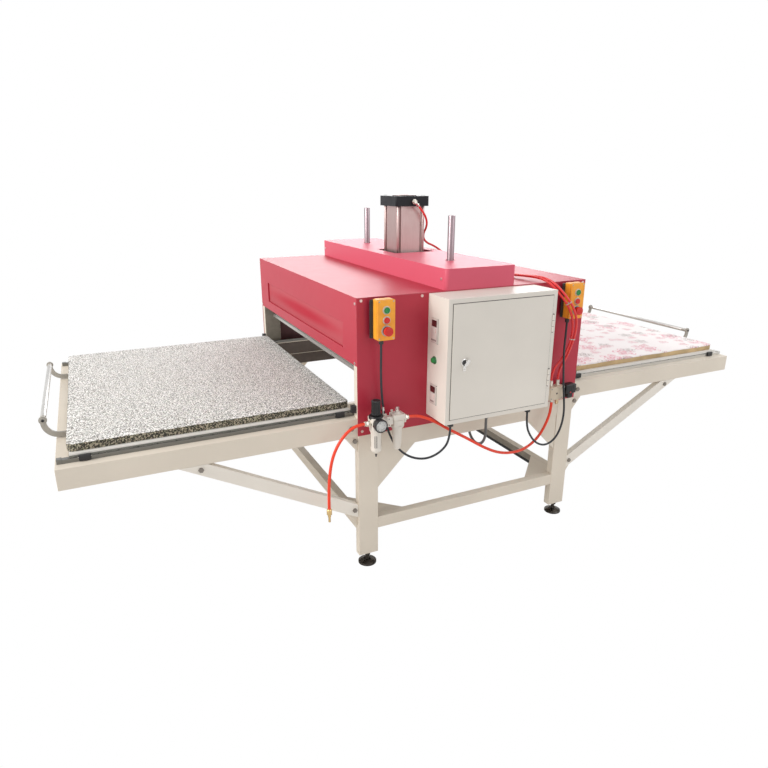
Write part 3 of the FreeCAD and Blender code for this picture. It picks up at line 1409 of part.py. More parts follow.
def make_fittings():
    fittings = []
    unit_end = "unit_wide / 2"
    fittings.append(rod(
        "inlet_fitting", "x", "fitting_size / 2", "fitting_size",
        f"-regulator_line - {unit_end} - fitting_size", "-frl_line", "port_high",
    ))
    fittings.append(rod(
        "outlet_fitting", "x", "fitting_size / 2", "fitting_size",
        f"-lubricator_line + {unit_end}", "-frl_line", "port_high",
    ))
    for name, line in (("left", PORT_LEFT), ("right", PORT_RIGHT)):
        fittings.append(rod(
            name + "_port_fitting", "z", "fitting_size / 2 * 0.8", FITTING_LONG, line, f"-{VALVE_MIDDLE}", PORT_TOP,
        ))
    fittings.append(rod(
        "valve_inlet_fitting", "z", "fitting_size / 2 * 0.8", "fitting_size / 2",
        f"{PORT_LEFT} + fitting_size * 0.6", f"-{VALVE_MIDDLE}", "valve_base - fitting_size / 2",
    ))
    fittings.append(rod(
        "silencer", "z", "fitting_size / 2 * 0.7", "fitting_size * 1.3",
        f"{PORT_RIGHT} + fitting_size / 4", f"-{VALVE_MIDDLE}", "valve_base - fitting_size * 1.3",
    ))
    cap_spot = (str(CAP_PORT_X), "-end_cap_wide / 2 - fitting_size", "barrel_top + end_cap_high * 0.45")
    cap_stem = rod("cap_fitting_stem", "y", "fitting_size / 2 * 0.8", "fitting_size", *cap_spot)
    cap_outlet = rod("cap_fitting_outlet", "down_right", "fitting_size / 2 * 0.7", "elbow_reach", *cap_spot)
    bind(cap_outlet, "Placement.Base.y", "-end_cap_wide / 2 - fitting_size * 0.6")
    fittings.append(fuse("cap_fitting", cap_stem, cap_outlet))
    nipple_x = "end_cap_wide / 2"
    nipple_z = f"{PLATE_TOP} + end_cap_high / 2"
    nipple = rod(
        "base_port_pipe", "x", "fitting_size / 2 * 0.8", "riser_wide / 2 - end_cap_wide / 2 + fitting_size",
        nipple_x, "0", nipple_z,
    )
    elbow = rod(
        "base_port_elbow", "y", "fitting_size / 2 * 0.8", "fitting_size",
        "riser_wide / 2 + fitting_size", "-fitting_size", nipple_z,
    )
    fittings.append(fuse("base_fitting", nipple, elbow))
    sub_part("air_fittings", *fittings)


# Hoses and cables, as runs joined by tangent arcs, along points chosen by hand

ARC_SHARE = 0.45


def route_edges(points):
    """Straight runs joined by arcs as large as the shorter of their two runs allows."""
    starts = [points[0]]
    edges = []
    radii = []
    for before, corner, after in zip(points, points[1:], points[2:]):
        back = before - corner
        ahead = after - corner
        share = ARC_SHARE * min(back.Length, ahead.Length)
        back.normalize()
        ahead.normalize()
        turn = math.pi - math.acos(max(-1, min(1, back.dot(ahead))))
        radii.append(share / math.tan(turn / 2))
        start = corner + back * share
        end = corner + ahead * share
        middle = back + ahead
        middle.normalize()
        reach = radii[-1] / math.cos(turn / 2) - radii[-1]
        edges.append(Part.LineSegment(starts[-1], start).toShape())
        edges.append(Part.Arc(start, corner + middle * reach, end).toShape())
        starts.append(end)
    edges.append(Part.LineSegment(starts[-1], points[-1]).toShape())
    return edges, radii


def hose(name, points, diameter):
    """A round hose along a route, with its radii and its volume printed."""
    points = [Vector(*point) for point in points]
    edges, radii = route_edges(points)
    path = Part.Wire(edges)
    start = (points[1] - points[0]).normalize()
    ring = Part.Wire([Part.Circle(points[0], start, diameter / 2).toShape()])
    solid = path.makePipeShell([ring], True, False)
    expected = math.pi * diameter ** 2 / 4 * path.Length
    print(f"{name}: length {path.Length:.0f}, least radius {min(radii):.0f}, diameter {diameter}, "
          f"volume {solid.Volume / expected:.4f} of section times length")
    feature = doc.addObject("Part::Feature", name)
    feature.Shape = solid
    return feature


frl_y = -number("frl_line")
port_z = number("port_high")
inlet_x = -number("regulator_line + unit_wide / 2 + fitting_size")
outlet_x = -number("lubricator_line - unit_wide / 2 - fitting_size")
valve_y = -number(VALVE_MIDDLE)
port_left_x = number(PORT_LEFT)
port_right_x = number(PORT_RIGHT)
port_top_z = number(f"{PORT_TOP} + {FITTING_LONG}")
valve_inlet_x = number(f"{PORT_LEFT} + fitting_size * 0.6")
valve_inlet_z = number("valve_base - fitting_size / 2")
box_gland_z = number("box_base - gland_high")
switch_exit_z = number("switch_base - gland_high * 0.6")
base_port_x = number("riser_wide / 2 + fitting_size")
elbow_x = CAP_PORT_X + number("elbow_reach / sqrt(2)")
elbow_y = -number("end_cap_wide / 2 + fitting_size * 0.6")
elbow_z = number("barrel_top + end_cap_high * 0.45 - elbow_reach / sqrt(2)")
base_port_z = number(f"{PLATE_TOP} + end_cap_high / 2")
conduit_end_z = number(f"{BEAM_BASE} - gland_high / 2")

gland_line = number("frame_deep / 2 + gland_stand")
conduit_line = number("frame_deep / 2 + conduit_stand")
conduit_back = number(f"{LEG_BACK} - bay_beam_deep / 2")
exit_line = number("frame_deep / 2 + exit_stand")
left_exit = -number("switch_line + exit_outward")
right_exit = number("switch_line - exit_inward")
left_gland = number("box_shift - left_gland_inset")
right_gland = number("box_shift + right_gland_inset")
conduit_x = number("box_shift - conduit_inset")

SUPPLY_ROUTE = [
    (inlet_x, frl_y, port_z), (-560, frl_y, port_z), (-588, -736, 653), (-620, -737, 631), (-650, -736, 592),
    (-672, -735, 540), (-684, -736, 474), (-689, -737, 400), (-689, -737, 338),
]
VALVE_ROUTE = [
    (outlet_x, frl_y, port_z), (-316, frl_y, port_z), (-252, -737, 633), (-172, -746, 579), (-92, -760, 531),
    (-20, -769, 483), (58, -765, 440), (140, -752, 415), (228, -736, 410), (304, -724, 440), (350, -718, 495),
    (valve_inlet_x, valve_y, 558), (valve_inlet_x, valve_y, valve_inlet_z),
]
CAP_ROUTE = [
    (elbow_x, elbow_y, elbow_z), (elbow_x + 18, elbow_y, elbow_z - 18), (63, -98, 1374), (81, -82, 1345),
    (93, -53, 1318), (100, -16, 1292), (116, 14, 1262), (144, 27, 1239), (178, 24, 1226), (210, 10, 1204),
    (230, -16, 1176), (239, -54, 1154), (243, -112, 1143), (247, -195, 1138), (256, -295, 1137),
    (272, -390, 1139), (291, -485, 1140), (309, -570, 1145), (322, -640, 1148), (336, -695, 1137),
    (352, -732, 1109), (371, -754, 1077), (398, -766, 1040), (424, -768, 986), (437, -758, 940),
    (447, -742, 898), (444, -727, 843), (430, -719, 794), (port_right_x, valve_y, 748),
    (port_right_x, valve_y, port_top_z),
]
BASE_ROUTE = [
    (base_port_x, -20, base_port_z), (base_port_x, -48, base_port_z), (190, -90, 1165), (203, -140, 1154),
    (219, -208, 1143), (238, -295, 1137), (256, -390, 1139), (276, -480, 1140), (295, -565, 1144),
    (308, -636, 1146), (323, -690, 1134), (341, -722, 1104), (361, -745, 1071), (386, -756, 1034),
    (411, -758, 984), (425, -751, 940), (436, -737, 900), (432, -725, 840), (405, -718, 790),
    (port_left_x, valve_y, 750), (port_left_x, valve_y, port_top_z),
]
LEFT_CABLE_ROUTE = [
    (left_exit, -exit_line, switch_exit_z), (left_exit, -exit_line, 910), (-455, -704, 830), (-449, -699, 748),
    (-438, -697, 668), (-420, -700, 590), (-386, -708, 521), (-334, -721, 476), (-272, -739, 463),
    (-217, -757, 488), (left_gland, -gland_line, 540), (left_gland, -gland_line, box_gland_z),
]
RIGHT_CABLE_ROUTE = [
    (right_exit, -exit_line, switch_exit_z), (right_exit, -exit_line, 910), (412, -723, 838), (404, -740, 764),
    (405, -747, 692), (414, -751, 621), (420, -753, 552), (410, -753, 488), (380, -754, 438), (330, -756, 418),
    (277, -760, 436), (232, -766, 480), (right_gland, -gland_line, 540), (right_gland, -gland_line, box_gland_z),
]
CONDUIT_ROUTE = [
    (conduit_x, -conduit_line, box_gland_z), (conduit_x, -conduit_line, 568), (7, -751, 525), (5, -738, 487),
    (5, -706, 464), (5, -666, 464), (5, -634, 487), (conduit_x, -conduit_back, 529),
    (conduit_x, -conduit_back, conduit_end_z),
]


def make_hoses():
    air = size["air_hose"]
    sub_part("supply_hose", hose("supply_hose_tube", SUPPLY_ROUTE, air))
    sub_part("valve_hose", hose("valve_hose_tube", VALVE_ROUTE, air))
    sub_part(
        "cylinder_hoses",
        hose("cap_hose_tube", CAP_ROUTE, size["cylinder_hose"]),
        hose("base_hose_tube", BASE_ROUTE, size["cylinder_hose"]),
    )
    sub_part("left_switch_cable", hose("left_cable_tube", LEFT_CABLE_ROUTE, size["switch_cable"]))
    sub_part("right_switch_cable", hose("right_cable_tube", RIGHT_CABLE_ROUTE, size["switch_cable"]))
    sub_part("heater_conduit", hose("conduit_tube", CONDUIT_ROUTE, size["conduit_size"]))


def make_glands():
    glands = []
    for name, x, y, z, scale in (
        ("left_box", left_gland, -gland_line, box_gland_z, 1),
        ("right_box", right_gland, -gland_line, box_gland_z, 1),
        ("conduit_box", conduit_x, -conduit_line, box_gland_z, 1),
        ("conduit_beam", conduit_x, -conduit_back, conduit_end_z, 0.5),
        ("left_switch", left_exit, -exit_line, switch_exit_z, 0.6),
        ("right_switch", right_exit, -exit_line, switch_exit_z, 0.6),
    ):
        radius = "gland_size / 2" if scale != 0.6 else "gland_size / 2 * 0.75"
        glands.append(rod(
            f"{name}_gland", "z", radius, f"gland_high * {scale}", str(x), str(y), str(z),
        ))
    sub_part("cable_glands", *glands)


def make_supply_plug():
    x, y, z = SUPPLY_ROUTE[-1]
    plug = turned(
        "plug_body",
        [
            ("0", "0"),
            ("air_hose * 0.62", "0"),
            ("air_hose * 0.84", "-plug_long * 0.08"),
            ("air_hose * 0.84", "-plug_long * 0.42"),
            ("air_hose * 0.5", "-plug_long * 0.46"),
            ("air_hose * 0.5", "-plug_long * 0.62"),
            ("air_hose * 0.38", "-plug_long * 0.66"),
            ("air_hose * 0.38", "-plug_long"),
            ("0", "-plug_long"),
        ],
        str(x), str(y), str(z),
    )
    sub_part("supply_plug", plug)


# Build everything, check it and write one file for each sub-part

def build():
    make_legs()
    make_frame_tubes()
    make_gussets()
    make_wing_frames()
    make_braces()
    make_frame_bolts()
    make_feet()
    make_linear_rails()
    make_table_sensors()
    make_front_and_back_covers()
    make_side_covers()
    make_top_cover()
    make_riser_cover()
    make_cover_screws()
    make_top_frame()
    make_bushings()
    make_cylinder()
    make_press_rods()
    make_platen()
    for hand, side in (("left", -1), ("right", 1)):
        make_table(hand, side)
        make_handle(hand, side)
    make_control_box()
    make_door()
    make_lock()
    make_instruments()
    make_switch_boxes()
    for hand, side in (("left", -1), ("right", 1)):
        make_buttons(hand, side)
    make_air_units()
    make_gauge()
    make_valve()
    make_fittings()
    make_hoses()
    make_glands()
    make_supply_plug()
    doc.recompute()
    failed = [thing.Name for thing in doc.Objects if {"Invalid", "Error"} & set(thing.State)]
    if failed:
        raise RuntimeError(f"failed objects: {failed}")
    for part in sub_parts:
        if part.Shape.isNull() or not part.Shape.isValid() or not part.Shape.Solids:
            raise RuntimeError(f"bad shape: {part.Label}")
    os.makedirs("parts", exist_ok=True)
    for part in sub_parts:
        part.Shape.exportStep(f"parts/{part.Label}.step")
        print(part.Label, len(part.Shape.Solids), "solids", round(part.Shape.Volume / 1000), "cm3")
    whole = Part.Compound([part.Shape for part in sub_parts]).BoundBox
    print(len(sub_parts), "sub-parts, set back", round(sub_parts[0].Placement.Base.y, 3), whole)


build()
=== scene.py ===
# Dual station heat press: camera, light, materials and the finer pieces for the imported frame.
# Forms are written in millimetres from the middle of the portal, as in the part's source, and
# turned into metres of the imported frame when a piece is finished.
import json
import math
import random

import bmesh
import bpy
from mathutils import Matrix, Vector


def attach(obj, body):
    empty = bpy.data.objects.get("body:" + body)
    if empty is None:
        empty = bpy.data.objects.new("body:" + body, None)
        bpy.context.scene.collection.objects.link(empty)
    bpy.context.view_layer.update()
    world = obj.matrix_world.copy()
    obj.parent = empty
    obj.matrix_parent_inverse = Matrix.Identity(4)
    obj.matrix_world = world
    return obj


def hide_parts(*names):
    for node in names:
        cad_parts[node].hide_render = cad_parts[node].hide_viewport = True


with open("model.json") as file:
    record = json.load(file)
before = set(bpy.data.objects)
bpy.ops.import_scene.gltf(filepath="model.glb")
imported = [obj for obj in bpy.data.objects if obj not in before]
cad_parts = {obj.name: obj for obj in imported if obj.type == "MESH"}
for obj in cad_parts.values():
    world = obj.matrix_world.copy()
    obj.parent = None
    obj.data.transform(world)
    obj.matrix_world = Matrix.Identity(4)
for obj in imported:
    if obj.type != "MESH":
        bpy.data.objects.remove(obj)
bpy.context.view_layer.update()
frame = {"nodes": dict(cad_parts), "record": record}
scene = bpy.context.scene

SET_BACK = 0.07265


def metres(point):
    """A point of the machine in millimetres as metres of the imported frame."""
    x, y, z = point
    return Vector((x / 1000, y / 1000 + SET_BACK, z / 1000))


# Camera and light

def make_camera():
    yaw, pitch, roll = (math.radians(a) for a in (25.6, 18.2, 0.1))
    forward = Vector((math.sin(yaw) * math.cos(pitch), math.cos(yaw) * math.cos(pitch), -math.sin(pitch)))
    right = Vector((math.cos(yaw), -math.sin(yaw), 0))
    up = right.cross(forward)
    right, up = (
        right * math.cos(roll) + up * math.sin(roll),
        up * math.cos(roll) - right * math.sin(roll),
    )
    data = bpy.data.cameras.new("camera")
    data.sensor_width = 36
    data.lens = 28.861
    data.clip_end = 60
    camera = bpy.data.objects.new("camera", data)
    turn = Matrix((right, up, -forward)).transposed().to_4x4()
    camera.matrix_world = Matrix.Translation((-1.40352, -2.63841, 1.52850)) @ turn
    scene.collection.objects.link(camera)
    scene.camera = camera


def area_lamp(name, place, target, wide, high, power, colour=(1, 1, 1)):
    data = bpy.data.lights.new(name, "AREA")
    data.shape = "RECTANGLE"
    data.size = wide
    data.size_y = high
    data.energy = power
    data.color = colour
    lamp = bpy.data.objects.new(name, data)
    lamp.location = place
    lamp.rotation_euler = (Vector(target) - Vector(place)).to_track_quat("-Z", "Y").to_euler()
    scene.collection.objects.link(lamp)


def make_light():
    """A white studio: plain white to the eye and in reflections, softer as a source of light."""
    world = bpy.data.worlds.new("studio")
    world.use_nodes = True
    scene.world = world
    tree = world.node_tree
    path = tree.nodes.new("ShaderNodeLightPath")
    seen = tree.nodes.new("ShaderNodeMath")
    seen.operation = "MAXIMUM"
    mirrored = tree.nodes.new("ShaderNodeMath")
    mirrored.operation = "MAXIMUM"
    tree.links.new(path.outputs["Is Glossy Ray"], mirrored.inputs[0])
    tree.links.new(path.outputs["Is Transmission Ray"], mirrored.inputs[1])
    tree.links.new(path.outputs["Is Camera Ray"], seen.inputs[0])
    tree.links.new(mirrored.outputs[0], seen.inputs[1])
    mix = tree.nodes.new("ShaderNodeMix")
    mix.data_type = "RGBA"
    mix.inputs[6].default_value = (0.57, 0.57, 0.58, 1)
    mix.inputs[7].default_value = (1, 1, 1, 1)
    tree.links.new(seen.outputs[0], mix.inputs[0])
    tree.links.new(mix.outputs[2], tree.nodes["Background"].inputs["Color"])
    area_lamp("front_fill", (3.0, -4.8, 3.0), (0.4, -0.6, 0.9), 3.5, 2.5, 36)
    area_lamp("right_soft", (3.4, -1.4, 4.2), (1.1, 0, 0.7), 3.0, 3.0, 48)
    area_lamp("left_key", (-5.8, -0.5, 3.5), (-0.2, 0.1, 0.9), 3.0, 3.0, 270, (1.0, 0.98, 0.95))
    area_lamp("back_glow", (2.2, 4.9, 3.4), (0.1, 0.1, 1.15), 4.8, 2.4, 148, (1.0, 0.98, 0.99))
    scene.view_settings.view_transform = "Standard"


def make_floor():
    """A white floor that stays plain white to the eye and sends soft light back up."""
    material = bpy.data.materials.new("studio_floor")
    material.use_nodes = True
    tree = material.node_tree
    tree.nodes.remove(tree.nodes["Principled BSDF"])
    diffuse = tree.nodes.new("ShaderNodeBsdfDiffuse")
    diffuse.inputs["Color"].default_value = (0.86, 0.85, 0.83, 1)
    glow = tree.nodes.new("ShaderNodeEmission")
    glow.inputs["Color"].default_value = (1, 1, 1, 1)
    path = tree.nodes.new("ShaderNodeLightPath")
    mix = tree.nodes.new("ShaderNodeMixShader")
    tree.links.new(path.outputs["Is Camera Ray"], mix.inputs[0])
    tree.links.new(diffuse.outputs[0], mix.inputs[1])
    tree.links.new(glow.outputs[0], mix.inputs[2])
    tree.links.new(mix.outputs[0], tree.nodes["Material Output"].inputs["Surface"])
    mesh = bpy.data.meshes.new("studio_floor")
    reach = 9
    mesh.from_pydata([(-reach, -reach, 0), (reach, -reach, 0), (reach, reach, 0), (-reach, reach, 0)], [], [(0, 1, 2, 3)])
    mesh.materials.append(material)
    floor = bpy.data.objects.new("studio_floor", mesh)
    scene.collection.objects.link(floor)


# Materials, all from noise in object coordinates, in metres

class Surface:
    """A Principled material and the nodes behind its colour, roughness and bump."""

    def __init__(self, name, colour, roughness=0.5, **uniform):
        self.material = bpy.data.materials.new(name)
        self.material.use_nodes = True
        self.tree = self.material.node_tree
        self.shader = self.tree.nodes["Principled BSDF"]
        self.place = self.tree.nodes.new("ShaderNodeTexCoord").outputs["Object"]
        self.base = colour
        self.shader.inputs["Base Color"].default_value = (*colour, 1)
        self.shader.inputs["Roughness"].default_value = roughness
        for key, value in uniform.items():
            self.shader.inputs[key.replace("_", " ")].default_value = value

    def node(self, kind, *inputs, **props):
        made = self.tree.nodes.new("ShaderNode" + kind)
        for key, value in props.items():
            setattr(made, key, value)
        for index, value in enumerate(inputs):
            if isinstance(value, bpy.types.NodeSocket):
                self.tree.links.new(value, made.inputs[index])
            elif value is not None:
                made.inputs[index].default_value = value
        return made

    def calc(self, operation, a, b=0.0):
        return self.node("Math", a, b, operation=operation).outputs[0]

    def stretched(self, x, y, z):
        return self.node("Mapping", self.place, None, None, (x, y, z)).outputs[0]

    def noise(self, scale, detail=3.0, place=None):
        made = self.node("TexNoise")
        self.tree.links.new(place or self.place, made.inputs["Vector"])
        made.inputs["Scale"].default_value = scale
        made.inputs["Detail"].default_value = detail
        return made.outputs[0]

    def cells(self, scale, feature="F1", place=None):
        made = self.node("TexVoronoi", feature=feature)
        self.tree.links.new(place or self.place, made.inputs["Vector"])
        made.inputs["Scale"].default_value = scale
        return made

    def ramp(self, value, *stops):
        made = self.node("ValToRGB", value)
        marks = made.color_ramp.elements
        while len(marks) < len(stops):
            marks.new(0.5)
        for mark, (spot, colour) in zip(marks, stops):
            mark.position = spot
            mark.color = (*colour, 1) if len(colour) == 3 else colour
        return made.outputs[0]

    def shades(self, value, low, high, dark=0.9, light=1.06, base=None):
        """The base colour from a little darker to a little lighter."""
        base = base or self.base
        return self.ramp(
            value,
            (low, tuple(c * dark for c in base)),
            (high, tuple(min(1, c * light) for c in base)),
        )

    def mix(self, factor, a, b, kind="MIX"):
        made = self.node("Mix", data_type="RGBA", blend_type=kind)
        for index, value in ((0, factor), (6, a), (7, b)):
            if isinstance(value, bpy.types.NodeSocket):
                self.tree.links.new(value, made.inputs[index])
            else:
                made.inputs[index].default_value = value
        return made.outputs[2]

    def colour(self, value):
        self.tree.links.new(value, self.shader.inputs["Base Color"])

    def rough(self, value, low, high):
        scaled = self.node("MapRange", value, 0.3, 0.7, low, high)
        self.tree.links.new(scaled.outputs[0], self.shader.inputs["Roughness"])

    def bump(self, height, distance, strength=1.0):
        made = self.node("Bump")
        made.inputs["Strength"].default_value = strength
        made.inputs["Distance"].default_value = distance
        self.tree.links.new(height, made.inputs["Height"])
        self.tree.links.new(made.outputs[0], self.shader.inputs["Normal"])

    def worn(self, colour, amount=0.35):
        """The colour, paler along sharp edges."""
        soft = self.node("Bevel", 0.0022, samples=4).outputs[0]
        true = self.node("NewGeometry").outputs["Normal"]
        same = self.node("VectorMath", soft, true, operation="DOT_PRODUCT").outputs["Value"]
        where = self.node("MapRange", same, 0.86, 0.985, amount, 0.0).outputs[0]
        pale = tuple(min(1, c * 0.75 + 0.2) for c in self.base)
        return self.mix(where, colour, (*pale, 1))


def painted(name, colour, roughness, peel=0.00012, spread=0.07, gloss=0.4, patches=0.12):
    """Powder coated or sprayed steel: orange peel, faint clouds and slightly worn edges."""
    s = Surface(name, colour, roughness, Specular_IOR_Level=gloss)
    cloud = s.noise(2.3, 6)
    s.colour(s.worn(s.shades(cloud, 0.3, 0.7, 1 - spread, 1 + spread * 0.6)))
    s.rough(s.noise(19, 5), roughness - patches * 0.4, roughness + patches * 0.6)
    s.bump(s.noise(520, 2), peel, 0.5)
    return s.material


def metal(name, colour, roughness, grain=(60, 60, 60), spread=0.12, bump=0.00004):
    """Bare metal with fine machining marks along one axis."""
    s = Surface(name, colour, roughness, Metallic=1.0)
    marks = s.noise(8, 5, s.stretched(*grain))
    s.colour(s.shades(marks, 0.3, 0.7, 1 - spread, 1 + spread * 0.5))
    s.rough(s.noise(30, 5), roughness - 0.06, roughness + 0.1)
    s.bump(marks, bump, 0.6)
    return s.material


def rail_metal(name):
    """Ground rail steel: painted darker on the left wing as painted shade, and painted lighter on the right one as
    painted light.
    """
    s = Surface(name, (0.4, 0.4, 0.38), 0.34, Metallic=1.0)
    marks = s.noise(8, 5, s.stretched(4, 90, 90))
    across = s.node("SeparateXYZ", s.place).outputs[0]
    # Painted shade on the left rails and painted light on the right ones, chosen by the x position.
    side = s.node("MapRange", across, -0.2, 0.6, 0.0, 1.0).outputs[0]
    s.colour(s.mix(side, s.shades(marks, 0.3, 0.7, 0.52, 0.62), (0.66, 0.65, 0.62, 1)))
    s.rough(s.noise(30, 5), 0.28, 0.44)
    s.bump(marks, 0.00004, 0.6)
    return s.material


def plastic(name, colour, roughness=0.45, texture=900, bump=0.00008, **uniform):
    """Moulded plastic with a fine spark-eroded texture."""
    s = Surface(name, colour, roughness, **uniform)
    s.colour(s.shades(s.noise(35, 4), 0.3, 0.7, 0.88, 1.1))
    s.rough(s.noise(80, 4), roughness - 0.06, roughness + 0.08)
    s.bump(s.noise(texture, 2), bump, 0.6)
    return s.material


def speckled(name, stops, grain, coarse, bump):
    """Pressed felt or bonded crumb: small flecks of a few colours."""
    s = Surface(name, stops[0][1], 0.92, Sheen_Weight=0.25, Sheen_Roughness=0.6)
    flecks = s.noise(grain, 2.0)
    tint = s.node("TexNoise")
    s.tree.links.new(s.place, tint.inputs["Vector"])
    tint.inputs["Scale"].default_value = coarse
    tinted = s.mix(0.22, s.ramp(flecks, *stops), tint.outputs[1], "SOFT_LIGHT")
    s.colour(tinted)
    s.bump(s.noise(grain * 1.4, 3), bump, 0.9)
    return s.material


def floral(name):
    """Printed cover cloth: loose flowers in pink outline and grey sprigs on white, generic."""
    s = Surface(name, (0.86, 0.83, 0.82), 0.9, Sheen_Weight=0.3, Sheen_Roughness=0.5)
    weave = s.noise(3, 2, s.stretched(260, 260, 260))
    ground = s.ramp(s.noise(5, 4), (0.3, (0.93, 0.87, 0.85)), (0.7, (0.98, 0.94, 0.92)))
    colour = ground
    layers = (
        (6.1, 5, 0.38, (0.0, 0.0), (0.70, 0.17, 0.26, 1), (0.93, 0.70, 0.72, 1), 0.50),
        (8.6, 6, 0.36, (0.37, 0.71), (0.27, 0.23, 0.21, 1), (0.78, 0.72, 0.69, 1), 0.5),
        (13.0, 3, 0.36, (0.83, 0.19), (0.62, 0.18, 0.24, 1), (0.90, 0.72, 0.72, 1), 0.55),
    )
    for scale, petals, size, shift, line, fill, share in layers:
        place = s.node(
            "Mapping", s.place, (shift[0], shift[1], 0.0), None, (scale, scale, 0.0),
        ).outputs[0]
        wobble = s.node("TexNoise")
        s.tree.links.new(place, wobble.inputs["Vector"])
        wobble.inputs["Scale"].default_value = 5.0
        bent = s.node("VectorMath", wobble.outputs[1], (0.16, 0.16, 0.0), operation="MULTIPLY").outputs[0]
        place = s.node("VectorMath", place, bent, operation="ADD").outputs[0]
        cell = s.node("TexVoronoi", voronoi_dimensions="2D")
        s.tree.links.new(place, cell.inputs["Vector"])
        cell.inputs["Scale"].default_value = 1.0
        cell.inputs["Randomness"].default_value = 0.75
        local = s.node("VectorMath", place, cell.outputs["Position"], operation="SUBTRACT").outputs[0]
        parts = s.node("SeparateXYZ", local).outputs
        chance = s.node("SeparateColor", cell.outputs["Color"]).outputs
        turn = s.calc("MULTIPLY", chance[0], 6.28)
        angle = s.calc("ADD", s.calc("ARCTAN2", parts[1], parts[0]), turn)
        reach = s.calc("SQRT", s.calc("ADD", s.calc("MULTIPLY", parts[0], parts[0]), s.calc("MULTIPLY", parts[1], parts[1])))
        lobe = s.calc("ABSOLUTE", s.calc("COSINE", s.calc("MULTIPLY", angle, petals / 2)))
        rim = s.calc("MULTIPLY", s.calc("ADD", s.calc("MULTIPLY", lobe, 0.5), 0.5), size)
        across = s.calc("DIVIDE", reach, rim)
        inside = s.calc("LESS_THAN", across, 1.0)
        rings = s.calc("ABSOLUTE", s.calc("SINE", s.calc("MULTIPLY", across, 7.8)))
        veins = s.calc("GREATER_THAN", rings, 0.80)
        shown = s.calc("MULTIPLY", inside, s.calc("LESS_THAN", chance[1], share))
        patch = s.calc("MULTIPLY", shown, s.node("MapRange", s.noise(26, 3), 0.42, 0.58, 0.0, 1.0).outputs[0])
        colour = s.mix(s.calc("MULTIPLY", patch, 0.65), colour, fill)
        colour = s.mix(s.calc("MULTIPLY", s.calc("MULTIPLY", shown, veins), 0.75), colour, line)
    s.colour(colour)
    s.bump(weave, 0.0003, 0.5)
    return s.material


def foam(name, colour):
    """Cut edge of a foam or rubber pad: open pores and dirty patches."""
    s = Surface(name, colour, 0.9)
    pores = s.cells(420).outputs[0]
    patches = s.noise(14, 5)
    s.colour(s.mix(s.ramp(pores, (0.0, (0.35,) * 3), (0.5, (0.0,) * 3)), s.shades(patches, 0.3, 0.7, 0.72, 1.15), (*(c * 0.5 for c in colour), 1)))
    s.bump(pores, 0.0008, 0.7)
    return s.material


def quilted(name, colour):
    """Coated glass cloth: a plain weave with a soft sheen."""
    s = Surface(name, colour, 0.75, Sheen_Weight=0.3)
    warp = s.node("TexWave", wave_type="BANDS", bands_direction="X")
    weft = s.node("TexWave", wave_type="BANDS", bands_direction="Y")
    for wave in (warp, weft):
        s.tree.links.new(s.place, wave.inputs["Vector"])
        wave.inputs["Scale"].default_value = 90.0
    thread = s.calc("MULTIPLY", warp.outputs[1], weft.outputs[1])
    s.colour(s.mix(s.calc("MULTIPLY", thread, 0.3), s.shades(s.noise(9, 5), 0.3, 0.7, 0.85, 1.1), (*(c * 0.6 for c in colour), 1)))
    s.bump(thread, 0.0005, 0.6)
    return s.material


def glassy(name, colour, roughness=0.05, **uniform):
    """Clear or tinted plastic, with faint scratches."""
    s = Surface(name, colour, roughness, Transmission_Weight=0.85, IOR=1.46, **uniform)
    scratches = s.noise(70, 6, s.stretched(1, 12, 1))
    s.rough(scratches, roughness, roughness + 0.08)
    s.bump(scratches, 0.00002, 0.3)
    return s.material


def hose_skin(name, colour, roughness=0.3, **uniform):
    """Extruded hose or cable sheath: long faint streaks and a little dust."""
    s = Surface(name, colour, roughness, **uniform)
    s.colour(s.shades(s.noise(22, 5), 0.3, 0.7, 0.9, 1.08))
    s.rough(s.noise(60, 4), roughness - 0.05, roughness + 0.15)
    s.bump(s.noise(240, 3), 0.00015, 0.4)
    return s.material


